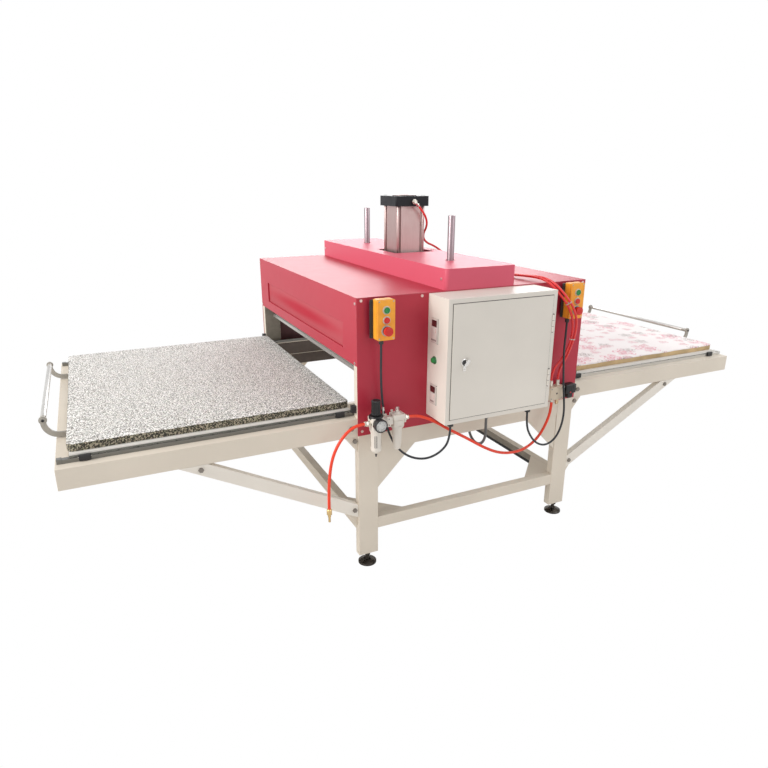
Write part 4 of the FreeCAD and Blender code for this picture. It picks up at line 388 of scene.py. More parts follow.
MATERIALS = {
    "frame_ivory": painted("frame_ivory", (0.745, 0.672, 0.568), 0.42),
    "zinc_steel": metal("zinc_steel", (0.26, 0.235, 0.21), 0.34),
    "foot_steel": metal("foot_steel", (0.075, 0.068, 0.062), 0.28),
    "rail_steel": rail_metal("rail_steel"),
    "sensor_black": plastic("sensor_black", (0.02, 0.02, 0.022)),
    "cover_red": painted("cover_red", (0.47, 0.024, 0.050), 0.42, spread=0.03, gloss=0.45, patches=0.02),
    "bushing_steel": metal("bushing_steel", (0.50, 0.49, 0.47), 0.3),
    # The pink cast of the rod chrome and the barrel aluminium is painted reflection of the red covers.
    "rod_chrome": metal("rod_chrome", (0.33, 0.255, 0.275), 0.34, (90, 90, 3), 0.05, 0.00001),
    "barrel_aluminium": metal("barrel_aluminium", (0.54, 0.41, 0.395), 0.40, (60, 60, 2), 0.06, 0.00002),
    "cap_black": painted("cap_black", (0.0125, 0.014, 0.0175), 0.45, gloss=0.25),
    "platen_aluminium": metal("platen_aluminium", (0.60, 0.59, 0.57), 0.32, (3, 70, 70)),
    "insulation_grey": quilted("insulation_grey", (0.52, 0.51, 0.48)),
    "tray_white": painted("tray_white", (0.78, 0.76, 0.72), 0.38),
    "left_pad_cover": speckled(
        "left_pad_cover",
        ((0.42, (0.09, 0.085, 0.068)), (0.475, (0.38, 0.37, 0.335)), (0.51, (0.62, 0.61, 0.57)), (0.56, (0.90, 0.885, 0.85))),
        205, 75, 0.0012,
    ),
    "right_pad_cover": floral("right_pad_cover"),
    "handle_paint": painted("handle_paint", (0.40, 0.375, 0.33), 0.30, gloss=0.5),
    "carriage_black": plastic("carriage_black", (0.022, 0.022, 0.024), 0.4),
    "box_ivory": painted("box_ivory", (0.765, 0.722, 0.652), 0.40),
    "lock_chrome": metal("lock_chrome", (0.80, 0.79, 0.77), 0.16),
    "instrument_dark": plastic("instrument_dark", (0.055, 0.045, 0.045), 0.35),
    "button_green": plastic("button_green", (0.018, 0.245, 0.062), 0.26),
    "button_red": plastic("button_red", (0.66, 0.019, 0.013), 0.30),
    "switch_orange": plastic("switch_orange", (1.0, 0.395, 0.032), 0.42),
    "air_grey": painted("air_grey", (0.74, 0.69, 0.62), 0.38),
    "knob_black": plastic("knob_black", (0.009, 0.009, 0.010), 0.42),
    "gauge_black": plastic("gauge_black", (0.018, 0.018, 0.02), 0.30),
    "needle_black": plastic("needle_black", (0.015, 0.015, 0.015), 0.5),
    "valve_silver": painted("valve_silver", (0.66, 0.56, 0.43), 0.40),
    "fitting_white": metal("fitting_white", (0.78, 0.74, 0.66), 0.28),
    "hose_orange": hose_skin("hose_orange", (0.86, 0.046, 0.010), 0.32, Coat_Weight=0.12, Coat_Roughness=0.15),
    "cable_dark": hose_skin("cable_dark", (0.022, 0.026, 0.032), 0.42),
    "conduit_grey": hose_skin("conduit_grey", (0.14, 0.14, 0.14), 0.45),
    "gland_black": plastic("gland_black", (0.025, 0.025, 0.026), 0.42),
    "plug_brass": metal("plug_brass", (0.72, 0.52, 0.25), 0.28),
}
DARK_CRUMB = speckled(
    "dark_crumb",
    ((0.38, (0.014, 0.014, 0.008)), (0.47, (0.062, 0.055, 0.034)), (0.54, (0.20, 0.175, 0.115)), (0.61, (0.50, 0.44, 0.32))),
    210, 120, 0.0020,
)
OCHRE_FOAM = foam("ochre_foam", (0.66, 0.48, 0.26))
# Painted shade: dark grey for the gap under the left tray's rim.
GAP_SHADE_STRIP = plastic("gap_shade_strip", (0.17, 0.175, 0.155), 0.5)
BRACE_IVORY = painted("brace_ivory", (0.84, 0.79, 0.71), 0.42)
CLEAR = glassy("clear_plastic", (0.95, 0.95, 0.94))
BOWL_CLEAR = glassy("bowl_clear", (0.86, 0.86, 0.83), 0.12)
DIAL_WHITE = plastic("dial_white", (0.93, 0.93, 0.91), 0.5)
# Black for print, sockets and wires; also painted shade, as the black strip low on the stretchers' inner sides.
INK_AND_SHADE = plastic("ink_and_painted_shade", (0.02, 0.02, 0.022), 0.6)
DISPLAY = plastic("display", (0.050, 0.013, 0.013), 0.10, texture=200, bump=0.00001, Coat_Weight=0.6)
PANEL_GREY = plastic("panel_grey", (0.58, 0.53, 0.49), 0.40)
KEY_GREY = plastic("key_grey", (0.68, 0.60, 0.56), 0.42)
GRIP_STEEL = metal("grip_steel", (0.62, 0.61, 0.59), 0.32, (60, 3, 60), 0.05)
HOSE_RED = hose_skin("hose_red", (0.80, 0.030, 0.030), 0.28, Coat_Weight=0.3, Coat_Roughness=0.1)
BEZEL_BROWN = plastic("bezel_brown", (0.24, 0.17, 0.16), 0.45)
DARK_STEEL = metal("dark_steel", (0.16, 0.15, 0.14), 0.35)
# The door gasket's dark rubber, dark also as painted shade of the gap round the door.
GASKET_GAP_SHADE = plastic("gasket_gap_shade", (0.13, 0.12, 0.11), 0.7)
# Painted sheen: the cover red painted lighter and pinker on the riser, for the bounce light and reflections it
# catches.
RISER_SHEEN_RED = painted("riser_red_painted_sheen", (0.72, 0.118, 0.180), 0.42, spread=0.03, gloss=0.3, patches=0.02)
RECESS_RED = painted("recess_red", (0.47, 0.034, 0.056), 0.55, spread=0.03, gloss=0.04, patches=0.02)
# Painted shade: a dark red for the inside of the back cover, which the machine shades.
INNER_RED_SHADE = painted("inner_red_painted_shade", (0.085, 0.008, 0.014), 0.6, spread=0.03, gloss=0.1, patches=0.02)
SCREW_PALE = metal("screw_pale", (0.80, 0.66, 0.64), 0.3)
# Painted shade: dark sheets for inner faces that the machine shades.
SHADE_DARK = plastic("painted_shade_dark", (0.10, 0.078, 0.066), 0.6, texture=60, bump=0.0002)
LEG_SHADE = plastic("painted_shade_grey", (0.24, 0.215, 0.175), 0.6, texture=60, bump=0.0002)
SHADE_BROWN = plastic("painted_shade_brown", (0.28, 0.245, 0.20), 0.6, texture=60, bump=0.0002)
COPPER_WIRE = hose_skin("wire_red", (0.42, 0.02, 0.02), 0.4)
BLUE_WIRE = hose_skin("wire_blue", (0.02, 0.06, 0.30), 0.4)
TIE_WHITE = plastic("tie_white", (0.70, 0.66, 0.60), 0.4)
RED_MARK = plastic("red_mark", (0.55, 0.03, 0.03), 0.3)
SLOT_DARK = plastic("slot_dark", (0.06, 0.055, 0.05), 0.35)
WELD = metal("weld_bead", (0.50, 0.46, 0.41), 0.45)
DUCT_GREY = plastic("duct_grey", (0.40, 0.41, 0.42), 0.5)
CONTACTOR = plastic("contactor", (0.58, 0.57, 0.54), 0.45)
SCREW = metal("screw_steel", (0.55, 0.53, 0.50), 0.3)


# Forms

def three_axes(direction):
    """Two directions square to a third, and the third itself."""
    w = Vector(direction).normalized()
    side = Vector((0, 0, 1)) if abs(w.z) < 0.9 else Vector((0, 1, 0))
    u = side.cross(w).normalized()
    return u, w.cross(u), w


def rounded_ring(low, high, radius, steps=3):
    """Points round a rectangle with rounded corners."""
    points = []
    for x, y, start in (
        (high[0] - radius, high[1] - radius, 0),
        (low[0] + radius, high[1] - radius, 90),
        (low[0] + radius, low[1] + radius, 180),
        (high[0] - radius, low[1] + radius, 270),
    ):
        for k in range(steps + 1):
            angle = math.radians(start + 90 * k / steps)
            points.append((x + radius * math.cos(angle), y + radius * math.sin(angle)))
    return points


class Form:
    """The mesh of one piece, gathered from several forms, with a material number for each."""

    def __init__(self):
        self.bm = bmesh.new()
        self.finish = 0

    def paint(self, number):
        self.finish = number
        return self

    def face(self, points):
        made = self.bm.faces.new(points)
        made.material_index = self.finish
        return made

    def loft(self, rings, closed=False, capped=True):
        """Rings of points joined by faces, with ends or closed on themselves."""
        made = [[self.bm.verts.new(point) for point in ring] for ring in rings]
        count = len(made[0])
        pairs = list(zip(made, made[1:]))
        if closed:
            pairs.append((made[-1], made[0]))
        for near, far in pairs:
            for k in range(count):
                after = (k + 1) % count
                self.face((near[k], near[after], far[after], far[k]))
        if capped and not closed:
            self.face(made[0][::-1])
            self.face(made[-1])
        return self

    def turned(self, outline, at, axis=(0, 0, 1), sides=40, closed=False, ribs=0, rib_depth=0.0, twist=0.0):
        """An outline of radius and height, turned about an axis; ribs modulate the radius."""
        u, v, w = three_axes(axis)
        at = Vector(at)
        rings = []
        for radius, height in outline:
            ring = []
            for k in range(sides):
                angle = math.tau * k / sides + twist
                reach = max(radius, 0.02)
                if ribs and radius > rib_depth * 3:
                    reach -= rib_depth * (0.5 + 0.5 * math.cos(ribs * angle))
                ring.append(at + u * reach * math.cos(angle) + v * reach * math.sin(angle) + w * height)
            rings.append(ring)
        return self.loft(rings, closed)

    def block(self, low, high, edge=0.8, corner=None, along=2, steps=3):
        """A block between two corners, its edges rounded, those along one axis by a radius of their own."""
        corner = max(corner or edge, edge)
        i, j = ((1, 2), (2, 0), (0, 1))[along]
        bottom, top = low[along], high[along]
        rings = []
        for level, inset in (
            (bottom, edge), (bottom + edge * 0.3, edge * 0.3), (bottom + edge, 0.0),
            (top - edge, 0.0), (top - edge * 0.3, edge * 0.3), (top, edge),
        ):
            ring = []
            outline = rounded_ring(
                (low[i] + inset, low[j] + inset), (high[i] - inset, high[j] - inset),
                max(corner - inset, 0.05), steps,
            )
            for a, b in outline:
                point = [0.0, 0.0, 0.0]
                point[along], point[i], point[j] = level, a, b
                ring.append(Vector(point))
            rings.append(ring)
        return self.loft(rings)

    def hexagon(self, at, axis, across, high, socket=False):
        """A chamfered hexagon, such as a nut or a bolt head."""
        reach = across / math.sqrt(3)
        return self.turned(
            ((reach * 0.93, 0), (reach, high * 0.15), (reach, high * 0.8), (reach * 0.9, high)),
            at, axis, 6,
        )

    def screw(self, at, axis, size, high, dark=1):
        """A socket screw: a rounded head, and a dark socket set in it."""
        now = self.finish
        self.turned(
            ((size * 0.5, 0), (size * 0.5, high * 0.7), (size * 0.44, high), (size * 0.26, high),
             (size * 0.24, high * 0.75)),
            at, axis, 20,
        )
        self.finish = dark
        self.turned(((size * 0.235, high * 0.70), (size * 0.235, high * 0.82)), at, axis, 6)
        self.finish = now
        return self

    def ring(self, at, axis, inner, outer, high, edge=0.5, sides=36):
        """A flat ring with softened edges."""
        return self.turned(
            ((inner, 0), (outer, 0), (outer, high - edge), (outer - edge, high), (inner + edge, high),
             (inner, high - edge)),
            at, axis, sides, closed=True,
        )

    def pipe(self, points, radius, sides=12, radii=None, closed=False):
        """A tube along points."""
        points = [Vector(p) for p in points]
        u, v, w = three_axes(points[1] - points[0])
        rings = []
        count = len(points)
        for k, point in enumerate(points):
            if closed:
                way = points[(k + 1) % count] - points[k - 1]
            else:
                way = points[min(k + 1, count - 1)] - points[max(k - 1, 0)]
            way.normalize()
            u = (u - way * u.dot(way)).normalized()
            v = way.cross(u)
            reach = radii[k] if radii else radius
            rings.append([
                point + (u * math.cos(math.tau * n / sides) + v * math.sin(math.tau * n / sides)) * reach
                for n in range(sides)
            ])
        return self.loft(rings, closed)

    def bead(self, start, end, size, seed=1):
        """A weld bead: overlapping ripples along a seam."""
        start, end = Vector(start), Vector(end)
        pick = random.Random(seed)
        count = max(6, int((end - start).length / 1.6))
        points = []
        radii = []
        for k in range(count + 1):
            share = k / count
            jitter = Vector([pick.uniform(-0.12, 0.12) * size for axis in range(3)])
            points.append(start.lerp(end, share) + jitter)
            ends = min(1.0, min(share, 1 - share) * count / 2 + 0.35)
            radii.append(size * ends * (0.86 + 0.14 * math.cos(k * math.pi)))
        return self.pipe(points, size, 7, radii)


def piece(name, form, finishes, body, replaces=(), smooth=35):
    """A form as a finished piece on its body."""
    for vert in form.bm.verts:
        vert.co = metres(vert.co)
    bmesh.ops.recalc_face_normals(form.bm, faces=form.bm.faces)
    mesh = bpy.data.meshes.new(name)
    form.bm.to_mesh(mesh)
    form.bm.free()
    mesh.shade_smooth()
    mesh.set_sharp_from_angle(angle=math.radians(smooth))
    for finish in finishes:
        mesh.materials.append(MATERIALS.get(finish, None) if isinstance(finish, str) else finish)
    made = bpy.data.objects.new(name, mesh)
    scene.collection.objects.link(made)
    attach(made, body)
    if replaces:
        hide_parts(*replaces)
    return made


# Hoses and cables: control points listed, the same as in the part's source

SUPPLY_ROUTE = [
    (-535, -735, 660), (-560, -735, 660), (-588, -736, 653), (-620, -737, 631), (-650, -736, 592),
    (-672, -735, 540), (-684, -736, 474), (-689, -737, 400), (-689, -737, 338),
]
VALVE_ROUTE = [
    (-355, -735, 660), (-316, -735, 660), (-252, -737, 633), (-172, -746, 579), (-92, -760, 531),
    (-20, -769, 483), (58, -765, 440), (140, -752, 415), (228, -736, 410), (304, -724, 440),
    (350, -718, 495), (375.5, -716, 558), (375.5, -716, 606),
]
CAP_ROUTE = [
    (23.385, -99, 1421.865), (41.385, -99, 1403.865), (63, -98, 1374), (81, -82, 1345), (93, -53, 1318),
    (100, -16, 1292), (116, 14, 1262), (144, 27, 1239), (178, 24, 1226), (210, 10, 1204),
    (230, -16, 1176), (239, -54, 1154), (243, -112, 1143), (247, -195, 1138), (256, -295, 1137),
    (272, -390, 1139), (291, -485, 1140), (309, -570, 1145), (322, -640, 1148), (336, -695, 1137),
    (352, -732, 1109), (371, -754, 1077), (398, -766, 1040), (424, -768, 986), (437, -758, 940),
    (447, -742, 898), (444, -727, 843), (430, -719, 794), (399.333, -716, 748), (399.333, -716, 700),
]
BASE_ROUTE = [
    (184.5, -20, 1168.5), (184.5, -48, 1168.5), (190, -90, 1165), (203, -140, 1154), (219, -208, 1143),
    (238, -295, 1137), (256, -390, 1139), (276, -480, 1140), (295, -565, 1144), (308, -636, 1146),
    (323, -690, 1134), (341, -722, 1104), (361, -745, 1071), (386, -756, 1034), (411, -758, 984),
    (425, -751, 940), (436, -737, 900), (432, -725, 840), (405, -718, 790), (363.5, -716, 750),
    (363.5, -716, 700),
]
LEFT_CABLE_ROUTE = [
    (-458, -712, 957), (-458, -712, 910), (-455, -704, 830), (-449, -699, 748), (-438, -697, 668),
    (-420, -700, 590), (-386, -708, 521), (-334, -721, 476), (-272, -739, 463), (-217, -757, 488),
    (-180, -770, 540), (-180, -770, 604),
]
RIGHT_CABLE_ROUTE = [
    (424, -712, 957), (424, -712, 910), (412, -723, 838), (404, -740, 764), (405, -747, 692),
    (414, -751, 621), (420, -753, 552), (410, -753, 488), (380, -754, 438), (330, -756, 418),
    (277, -760, 436), (232, -766, 480), (200, -770, 540), (200, -770, 604),
]
CONDUIT_ROUTE = [
    (5, -750, 604), (5, -750, 568), (7, -751, 525), (5, -738, 487), (5, -706, 464), (5, -666, 464),
    (5, -634, 487), (5, -621, 529), (5, -621, 568),
]


def nurbs(name, route, diameter=0.0):
    """A smooth curve with the route's points as its control points."""
    data = bpy.data.curves.new(name, "CURVE")
    data.dimensions = "3D"
    data.resolution_u = 10
    spline = data.splines.new("NURBS")
    spline.points.add(len(route) - 1)
    for control, point in zip(spline.points, route):
        control.co = (*metres(point), 1)
    spline.order_u = 3
    spline.use_endpoint_u = True
    data.bevel_depth = diameter / 2
    data.bevel_resolution = 5
    data.use_fill_caps = True
    made = bpy.data.objects.new(name, data)
    scene.collection.objects.link(made)
    return made


def followed(name, route):
    """Points along the route's smooth curve, in metres."""
    bare = nurbs(name + "_line", route)
    mesh = bpy.data.meshes.new_from_object(bare)
    points = [vert.co.copy() for vert in mesh.vertices]
    bpy.data.meshes.remove(mesh)
    bpy.data.objects.remove(bare)
    return points


def machine(point):
    """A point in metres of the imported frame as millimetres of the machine."""
    return Vector((point.x * 1000, (point.y - SET_BACK) * 1000, point.z * 1000))


def make_cord(name, route, diameter, finish, node, skin=None):
    cord = nurbs(name, route, diameter)
    cord.data.materials.append(skin or MATERIALS[finish])
    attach(cord, "frame")
    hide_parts(node)
    return cord


def make_ties():
    """Cable ties that hold the two cylinder hoses together."""
    cap_line = [machine(p) for p in followed("cap", CAP_ROUTE)]
    base_line = [machine(p) for p in followed("base", BASE_ROUTE)]
    form = Form()
    for level in (1052, 884):
        spots = []
        for line in (cap_line, base_line):
            near = min(
                (k for k in range(1, len(line) - 1) if line[k].y < -600),
                key=lambda k: abs(line[k].z - level),
            )
            spots.append((line[near], (line[near + 1] - line[near - 1]).normalized()))
        (a, way), (b, _) = spots
        b = b - way * (b - a).dot(way)
        across = (b - a).normalized()
        out = way.cross(across)
        for shift in (-1.0, 1.0):
            loop = []
            for k in range(28):
                angle = math.tau * k / 28
                middle = b if math.cos(angle) > 0 else a
                loop.append(middle + (across * math.cos(angle) + out * math.sin(angle)) * 5.9 + way * shift)
            form.pipe(loop, 0.9, 8, closed=True)
        low = (a + b) / 2 + out * 6.5
        form.pipe([low - way * 3.4, low + way * 3.4], 2.8, 8)
        form.pipe([low, low + out * 3 + across * 9], 0.8, 6)
    return piece("cable_ties", form, [TIE_WHITE], "frame")


def make_conduit():
    """Corrugated conduit, ringed along the smooth line of its route."""
    line = followed("conduit", CONDUIT_ROUTE)
    steps = [machine(p) for p in line]
    lengths = [0.0]
    for a, b in zip(steps, steps[1:]):
        lengths.append(lengths[-1] + (b - a).length)
    total = lengths[-1]
    count = int(total / 1.1)
    points = []
    radii = []
    k = 0
    for n in range(count + 1):
        want = total * n / count
        while k < len(lengths) - 2 and lengths[k + 1] < want:
            k += 1
        share = (want - lengths[k]) / (lengths[k + 1] - lengths[k])
        points.append(steps[k].lerp(steps[k + 1], share))
        radii.append((6.0, 5.7, 4.9, 5.7)[n % 4])
    form = Form().pipe(points, 6, 16, radii)
    conduit = piece("heater_conduit_skin", form, ["conduit_grey"], "frame", ["heater_conduit"], 60)


def make_cords():
    make_cord("supply_line", SUPPLY_ROUTE, 0.012, "hose_orange", "supply_hose")
    make_cord("valve_line", VALVE_ROUTE, 0.012, "hose_orange", "valve_hose")
    cap = make_cord("cap_line", CAP_ROUTE, 0.010, "hose_orange", "cylinder_hoses", skin=HOSE_RED)
    make_cord("base_line", BASE_ROUTE, 0.010, "hose_orange", "cylinder_hoses", skin=HOSE_RED)
    make_cord("left_cable", LEFT_CABLE_ROUTE, 0.009, "cable_dark", "left_switch_cable")
    make_cord("right_cable", RIGHT_CABLE_ROUTE, 0.009, "cable_dark", "right_switch_cable")
    make_conduit()


# Table pads and the insulation blanket

def pad_outline(low, high, radius, inset, pull, wave, pick):
    """Points round a pad: rounded corners, sides drawn in a little and not quite straight."""
    x0, y0, x1, y1 = low[0] + inset, low[1] + inset, high[0] - inset, high[1] - inset
    radius = max(radius - inset, 1.5)
    corners = ((x1 - radius, y1 - radius), (x0 + radius, y1 - radius), (x0 + radius, y0 + radius), (x1 - radius, y0 + radius))
    normals = ((0, 1), (-1, 0), (0, -1), (1, 0))
    points = []
    for n, (cx, cy) in enumerate(corners):
        for k in range(7):
            angle = math.radians(90 * n + 90 * k / 6)
            points.append((cx + radius * math.cos(angle), cy + radius * math.sin(angle)))
        nx, ny = normals[n]
        ax, ay = points[-1]
        bx, by = corners[(n + 1) % 4]
        bx += radius * nx
        by += radius * ny
        for k in range(1, 44):
            share = k / 44
            draw = pull * math.sin(math.pi * share) - pick.uniform(-wave, wave)
            points.append((ax + (bx - ax) * share - nx * draw, ay + (by - ay) * share - ny * draw))
    return points


def make_pad(hand, side):
    """A flat pressed pad, crowned by a hair; the right one is foam under printed cloth."""
    pick = random.Random(11 if side < 0 else 23)
    low = (min(side * 543, side * 1543), -600)
    high = (max(side * 543, side * 1543), 600)
    if side < 0:
        lower = ((683, 1.6, 0.3), (684.6, 0.2, 0.5), (689, 0.4, 0.9), (694, 0.1, 0.9), (699, 0.5, 0.9), (704, 0.2, 0.9), (707.6, 0.6, 0.9))
        upper = ((709.2, 1.4, 0.6), (710.0, 3.4, 0.2))
        lap = 0.0
    else:
        lower = ((683, 1.4, 0.3), (684.4, 0.2, 0.4), (690, 0.5, 0.6), (697, 0.2, 0.7), (703, 0.6, 0.6), (705.2, 1.2, 0.3))
        upper = ((705.8, -0.4, 0.3), (707.4, -1.1, 0.4), (709.2, -0.3, 0.3), (710.1, 1.6, 0.2))
        lap = 1.7
    top = ((710.5, 9, 0), (710.8, 30, 0), (711.1, 90, 0), (711.3, 200, 0), (711.3, 380, 0), (711.3, 485, 0))
    rings = []
    for level, inset, wave in lower + upper + top:
        outline = pad_outline(low, high, 22, inset, 1.8 if inset < 9 else 0, wave, pick)
        edge = lap if (level, inset, wave) in upper[:2] else 0
        rings.append([
            Vector((x, y, level - edge * (1 + math.sin(x / 37 + y / 53) + 0.5 * math.sin(x / 11 - y / 17)) / 2))
            for x, y in outline
        ])
    form = Form()
    split = len(lower)
    form.finish = 1
    form.loft(rings[:split + 1], capped=False)
    form.finish = 0
    form.loft(rings[split:], capped=False)
    bmesh.ops.remove_doubles(form.bm, verts=form.bm.verts, dist=0.001)
    form.bm.edges.ensure_lookup_table()
    open_edges = [edge for edge in form.bm.edges if edge.is_boundary]
    bmesh.ops.holes_fill(form.bm, edges=open_edges)
    skin = DARK_CRUMB if side < 0 else OCHRE_FOAM
    made = piece(
        f"{hand}_pad_covered", form, [f"{hand}_pad_cover", skin], f"{hand}_table",
        [f"{hand}_pad"], 50,
    )


def make_blanket():
    """Quilted insulation over the platen: stitched squares that puff between the seams."""
    low, high = (-491, -591, 830), (491, 591, 872)
    across, along = 90, 108
    pitch_x, pitch_y = (high[0] - low[0]) / 9, (high[1] - low[1]) / 11

    def height(x, y):
        puff = abs(math.sin(math.pi * (x - low[0]) / pitch_x)) * abs(math.sin(math.pi * (y - low[1]) / pitch_y))
        edge = min(x - low[0], high[0] - x, y - low[1], high[1] - y)
        drop = 7 * max(0.0, 1 - edge / 14) ** 2
        return high[2] - 0.6 - 5.5 * (1 - min(1.0, puff * 1.7) ** 0.5) - drop

    form = Form()
    grid = []
    for i in range(across + 1):
        row = []
        for j in range(along + 1):
            x = low[0] + (high[0] - low[0]) * i / across
            y = low[1] + (high[1] - low[1]) * j / along
            row.append(form.bm.verts.new((x, y, height(x, y))))
        grid.append(row)
    for i in range(across):
        for j in range(along):
            form.face((grid[i][j], grid[i + 1][j], grid[i + 1][j + 1], grid[i][j + 1]))
    rim = [grid[i][0] for i in range(across)] + [grid[across][j] for j in range(along)]
    rim += [grid[i][along] for i in range(across, 0, -1)] + [grid[0][j] for j in range(along, 0, -1)]
    upper = rim
    for level, out in ((861, 1.6), (854, 2.2), (846, 1.0), (838, 1.8), (832, 0.6), (830, -3.0)):
        lower = []
        for vert in rim:
            x, y = vert.co.x, vert.co.y
            nx = (x > high[0] - 0.1) - (x < low[0] + 0.1)
            ny = (y > high[1] - 0.1) - (y < low[1] + 0.1)
            tuck = 0.6 * math.sin(x / 23) * math.sin(y / 29)
            lower.append(form.bm.verts.new((x + nx * (out + tuck - 2.6), y + ny * (out + tuck - 2.6), level)))
        for k in range(len(rim)):
            after = (k + 1) % len(rim)
            form.face((upper[k], lower[k], lower[after], upper[after]))
        upper = lower
    form.face(upper)
    made = piece("insulation_blanket", form, ["insulation_grey"], "press", ["insulation_board"], 80)


# Air units, gauge and valve

AIR_Y = -735
PORT_Z = 660
REGULATOR_X = -490
LUBRICATOR_X = -400


def make_air_unit():
    form = Form()
    body = 25
    for x in (REGULATOR_X, LUBRICATOR_X):
        form.finish = 0
        form.block((x - body + 3, AIR_Y - body + 3, 634), (x + body - 3, AIR_Y + body - 3, 664), 1.5, 7)
        form.block((x - body, AIR_Y - body, 662), (x + body, AIR_Y + body, 683), 2.0, 7)
        form.turned(((20, 0), (25.4, 1.5), (25.4, 7), (23, 9.5), (20, 9.5)), (x, AIR_Y, 626), sides=48)
        for y in (-1, 1):
            form.block((x - 14, AIR_Y + y * 23 - 1.6, 641), (x + 14, AIR_Y + y * 23 + 1.6, 658), 0.5, 3, along=1)
        form.finish = 1
        for dx in (-17, 17):
            for dy in (-17, 17):
                form.turned(((2.6, 0), (2.6, 1.4), (2.2, 1.8)), (x + dx, AIR_Y + dy, 682.6), sides=12)
    form.finish = 0
    form.block((REGULATOR_X + 25, AIR_Y - 17, 645), (LUBRICATOR_X - 25, AIR_Y + 17, 675), 1.5, 5, along=0)
    for y in (-18.5, 18.5):
        form.block((REGULATOR_X + 37, AIR_Y + y - 2.5, 640), (REGULATOR_X + 53, AIR_Y + y + 2.5, 680), 1.0)
    form.block((REGULATOR_X + 8, AIR_Y + 24, 646), (REGULATOR_X + 25, -675, 674), 1.0)
    form.finish = 1
    form.screw((REGULATOR_X + 45, AIR_Y - 21, 672), (0, -1, 0), 6, 2.4, 2)
    form.turned(((5.5, 0), (5.5, 9), (3.6, 10.5), (3.6, 22), (6.4, 23.5), (6.4, 31), (5.2, 33), (5.2, 37), (3.4, 39)),
                (REGULATOR_X + 33, AIR_Y + 9, 674.5), sides=24)
    form.screw((REGULATOR_X + 45, AIR_Y - 21, 648), (0, -1, 0), 6, 2.4, 2)
    form.finish = 0
    form.block((LUBRICATOR_X + 24, AIR_Y - 15, 644), (LUBRICATOR_X + 32, AIR_Y + 15, 676), 1.5, 4, along=0)
    form.turned(((15.5, 0), (15.5, 3), (11, 4.5), (9.6, 8)), (LUBRICATOR_X, AIR_Y, 682), sides=36)
    form.turned(((3.4, 0), (3.4, 6), (5.2, 7), (5.2, 10), (4.4, 11)), (LUBRICATOR_X - 16, AIR_Y + 15, 683), sides=18)
    piece("air_unit_bodies", form, ["air_grey", SCREW, INK_AND_SHADE], "frame", ["filter_lubricator"])

    bonnet = Form().turned(
        ((20, 0), (27.5, 0.8), (28.2, 2.4), (28.2, 11), (27, 13), (22, 14.2), (17, 14.4)),
        (REGULATOR_X, AIR_Y, 675.4), sides=72, ribs=36, rib_depth=0.7,
    )
    bonnet.turned(((12.6, 0), (12.6, 1.9)), (REGULATOR_X, AIR_Y, 688.0), sides=30)
    piece("regulator_bonnet", bonnet, ["knob_black"], "frame")

    guards = Form()
    guards.turned(
        ((19.5, 0), (22.3, 0.6), (22.3, -6), (20.8, -8), (20.0, -70), (21.0, -72), (21.0, -80), (18.5, -85),
         (12.5, -91.4), (6.5, -95.6), (5.2, -96)),
        (REGULATOR_X, AIR_Y, 627.5), sides=48,
    )
    guards.turned(
        ((17.5, 0), (20.2, 0.6), (20.2, -5), (19.0, -8), (18.2, -40), (16.4, -70), (14.2, -86), (10.5, -93), (4, -95.5)),
        (LUBRICATOR_X, AIR_Y, 627.5), sides=48,
    )
    guards.finish = 1
    guards.turned(((4.6, 0), (4.6, -6), (3.4, -7.5), (3.4, -13.6)), (REGULATOR_X, AIR_Y, 531.6), sides=20)
    guards.ring((REGULATOR_X, AIR_Y, 553.6), (0, 0, 1), 19.4, 20.7, 1.6, 0.3, 40)
    guards.ring((REGULATOR_X, AIR_Y, 627.2), (0, 0, 1), 21.0, 22.6, 1.2, 0.3, 40)
    guards.ring((LUBRICATOR_X, AIR_Y, 627.2), (0, 0, 1), 19.0, 20.5, 1.2, 0.3, 40)
    for angle in (-117, -27, 63, 153):
        turn = math.radians(angle)
        out = Vector((math.cos(turn), math.sin(turn), 0))
        side = Vector((-math.sin(turn), math.cos(turn), 0))
        rings = []
        for level, half in ((613, 1.6), (611, 3.8), (608, 4.9), (563, 4.9), (560, 3.8), (558, 1.6)):
            reach = 20.4 - (627.5 - level) * 0.0125
            middle = Vector((REGULATOR_X, AIR_Y, level))
            rings.append([
                middle + side * half + out * (reach - 1.6), middle - side * half + out * (reach - 1.6),
                middle - side * half + out * (reach + 0.35), middle + side * half + out * (reach + 0.35),
            ])
        guards.loft(rings)
    piece("bowl_guards", guards, ["air_grey", SLOT_DARK], "frame")

    dome = Form().turned(
        ((8, 0), (8, 12), (7.6, 15.6), (6.2, 18.6), (3.6, 20.6), (0, 21.2)), (LUBRICATOR_X, AIR_Y, 688.2), sides=36,
    )
    piece("sight_glass", dome, [CLEAR], "frame")
    drip = Form().turned(((3.4, 0), (3.4, 5), (1.6, 8), (1.6, 13), (2.6, 14)), (LUBRICATOR_X, AIR_Y, 689.5), sides=16)
    piece("drip_tube", drip, ["fitting_white"], "frame")

    knob = Form().turned(
        ((17.4, 0), (19.2, 0.8), (20, 3), (20, 6.5), (18.2, 8), (17.6, 50), (18.2, 51), (18.0, 56), (16.4, 58.8),
         (13, 59.6), (12.4, 58.7), (0, 58.5)),
        (REGULATOR_X, AIR_Y, 690.2), sides=120, ribs=20, rib_depth=1.4,
    )
    piece("ribbed_knob", knob, ["knob_black"], "knob", ["regulator_knob"])


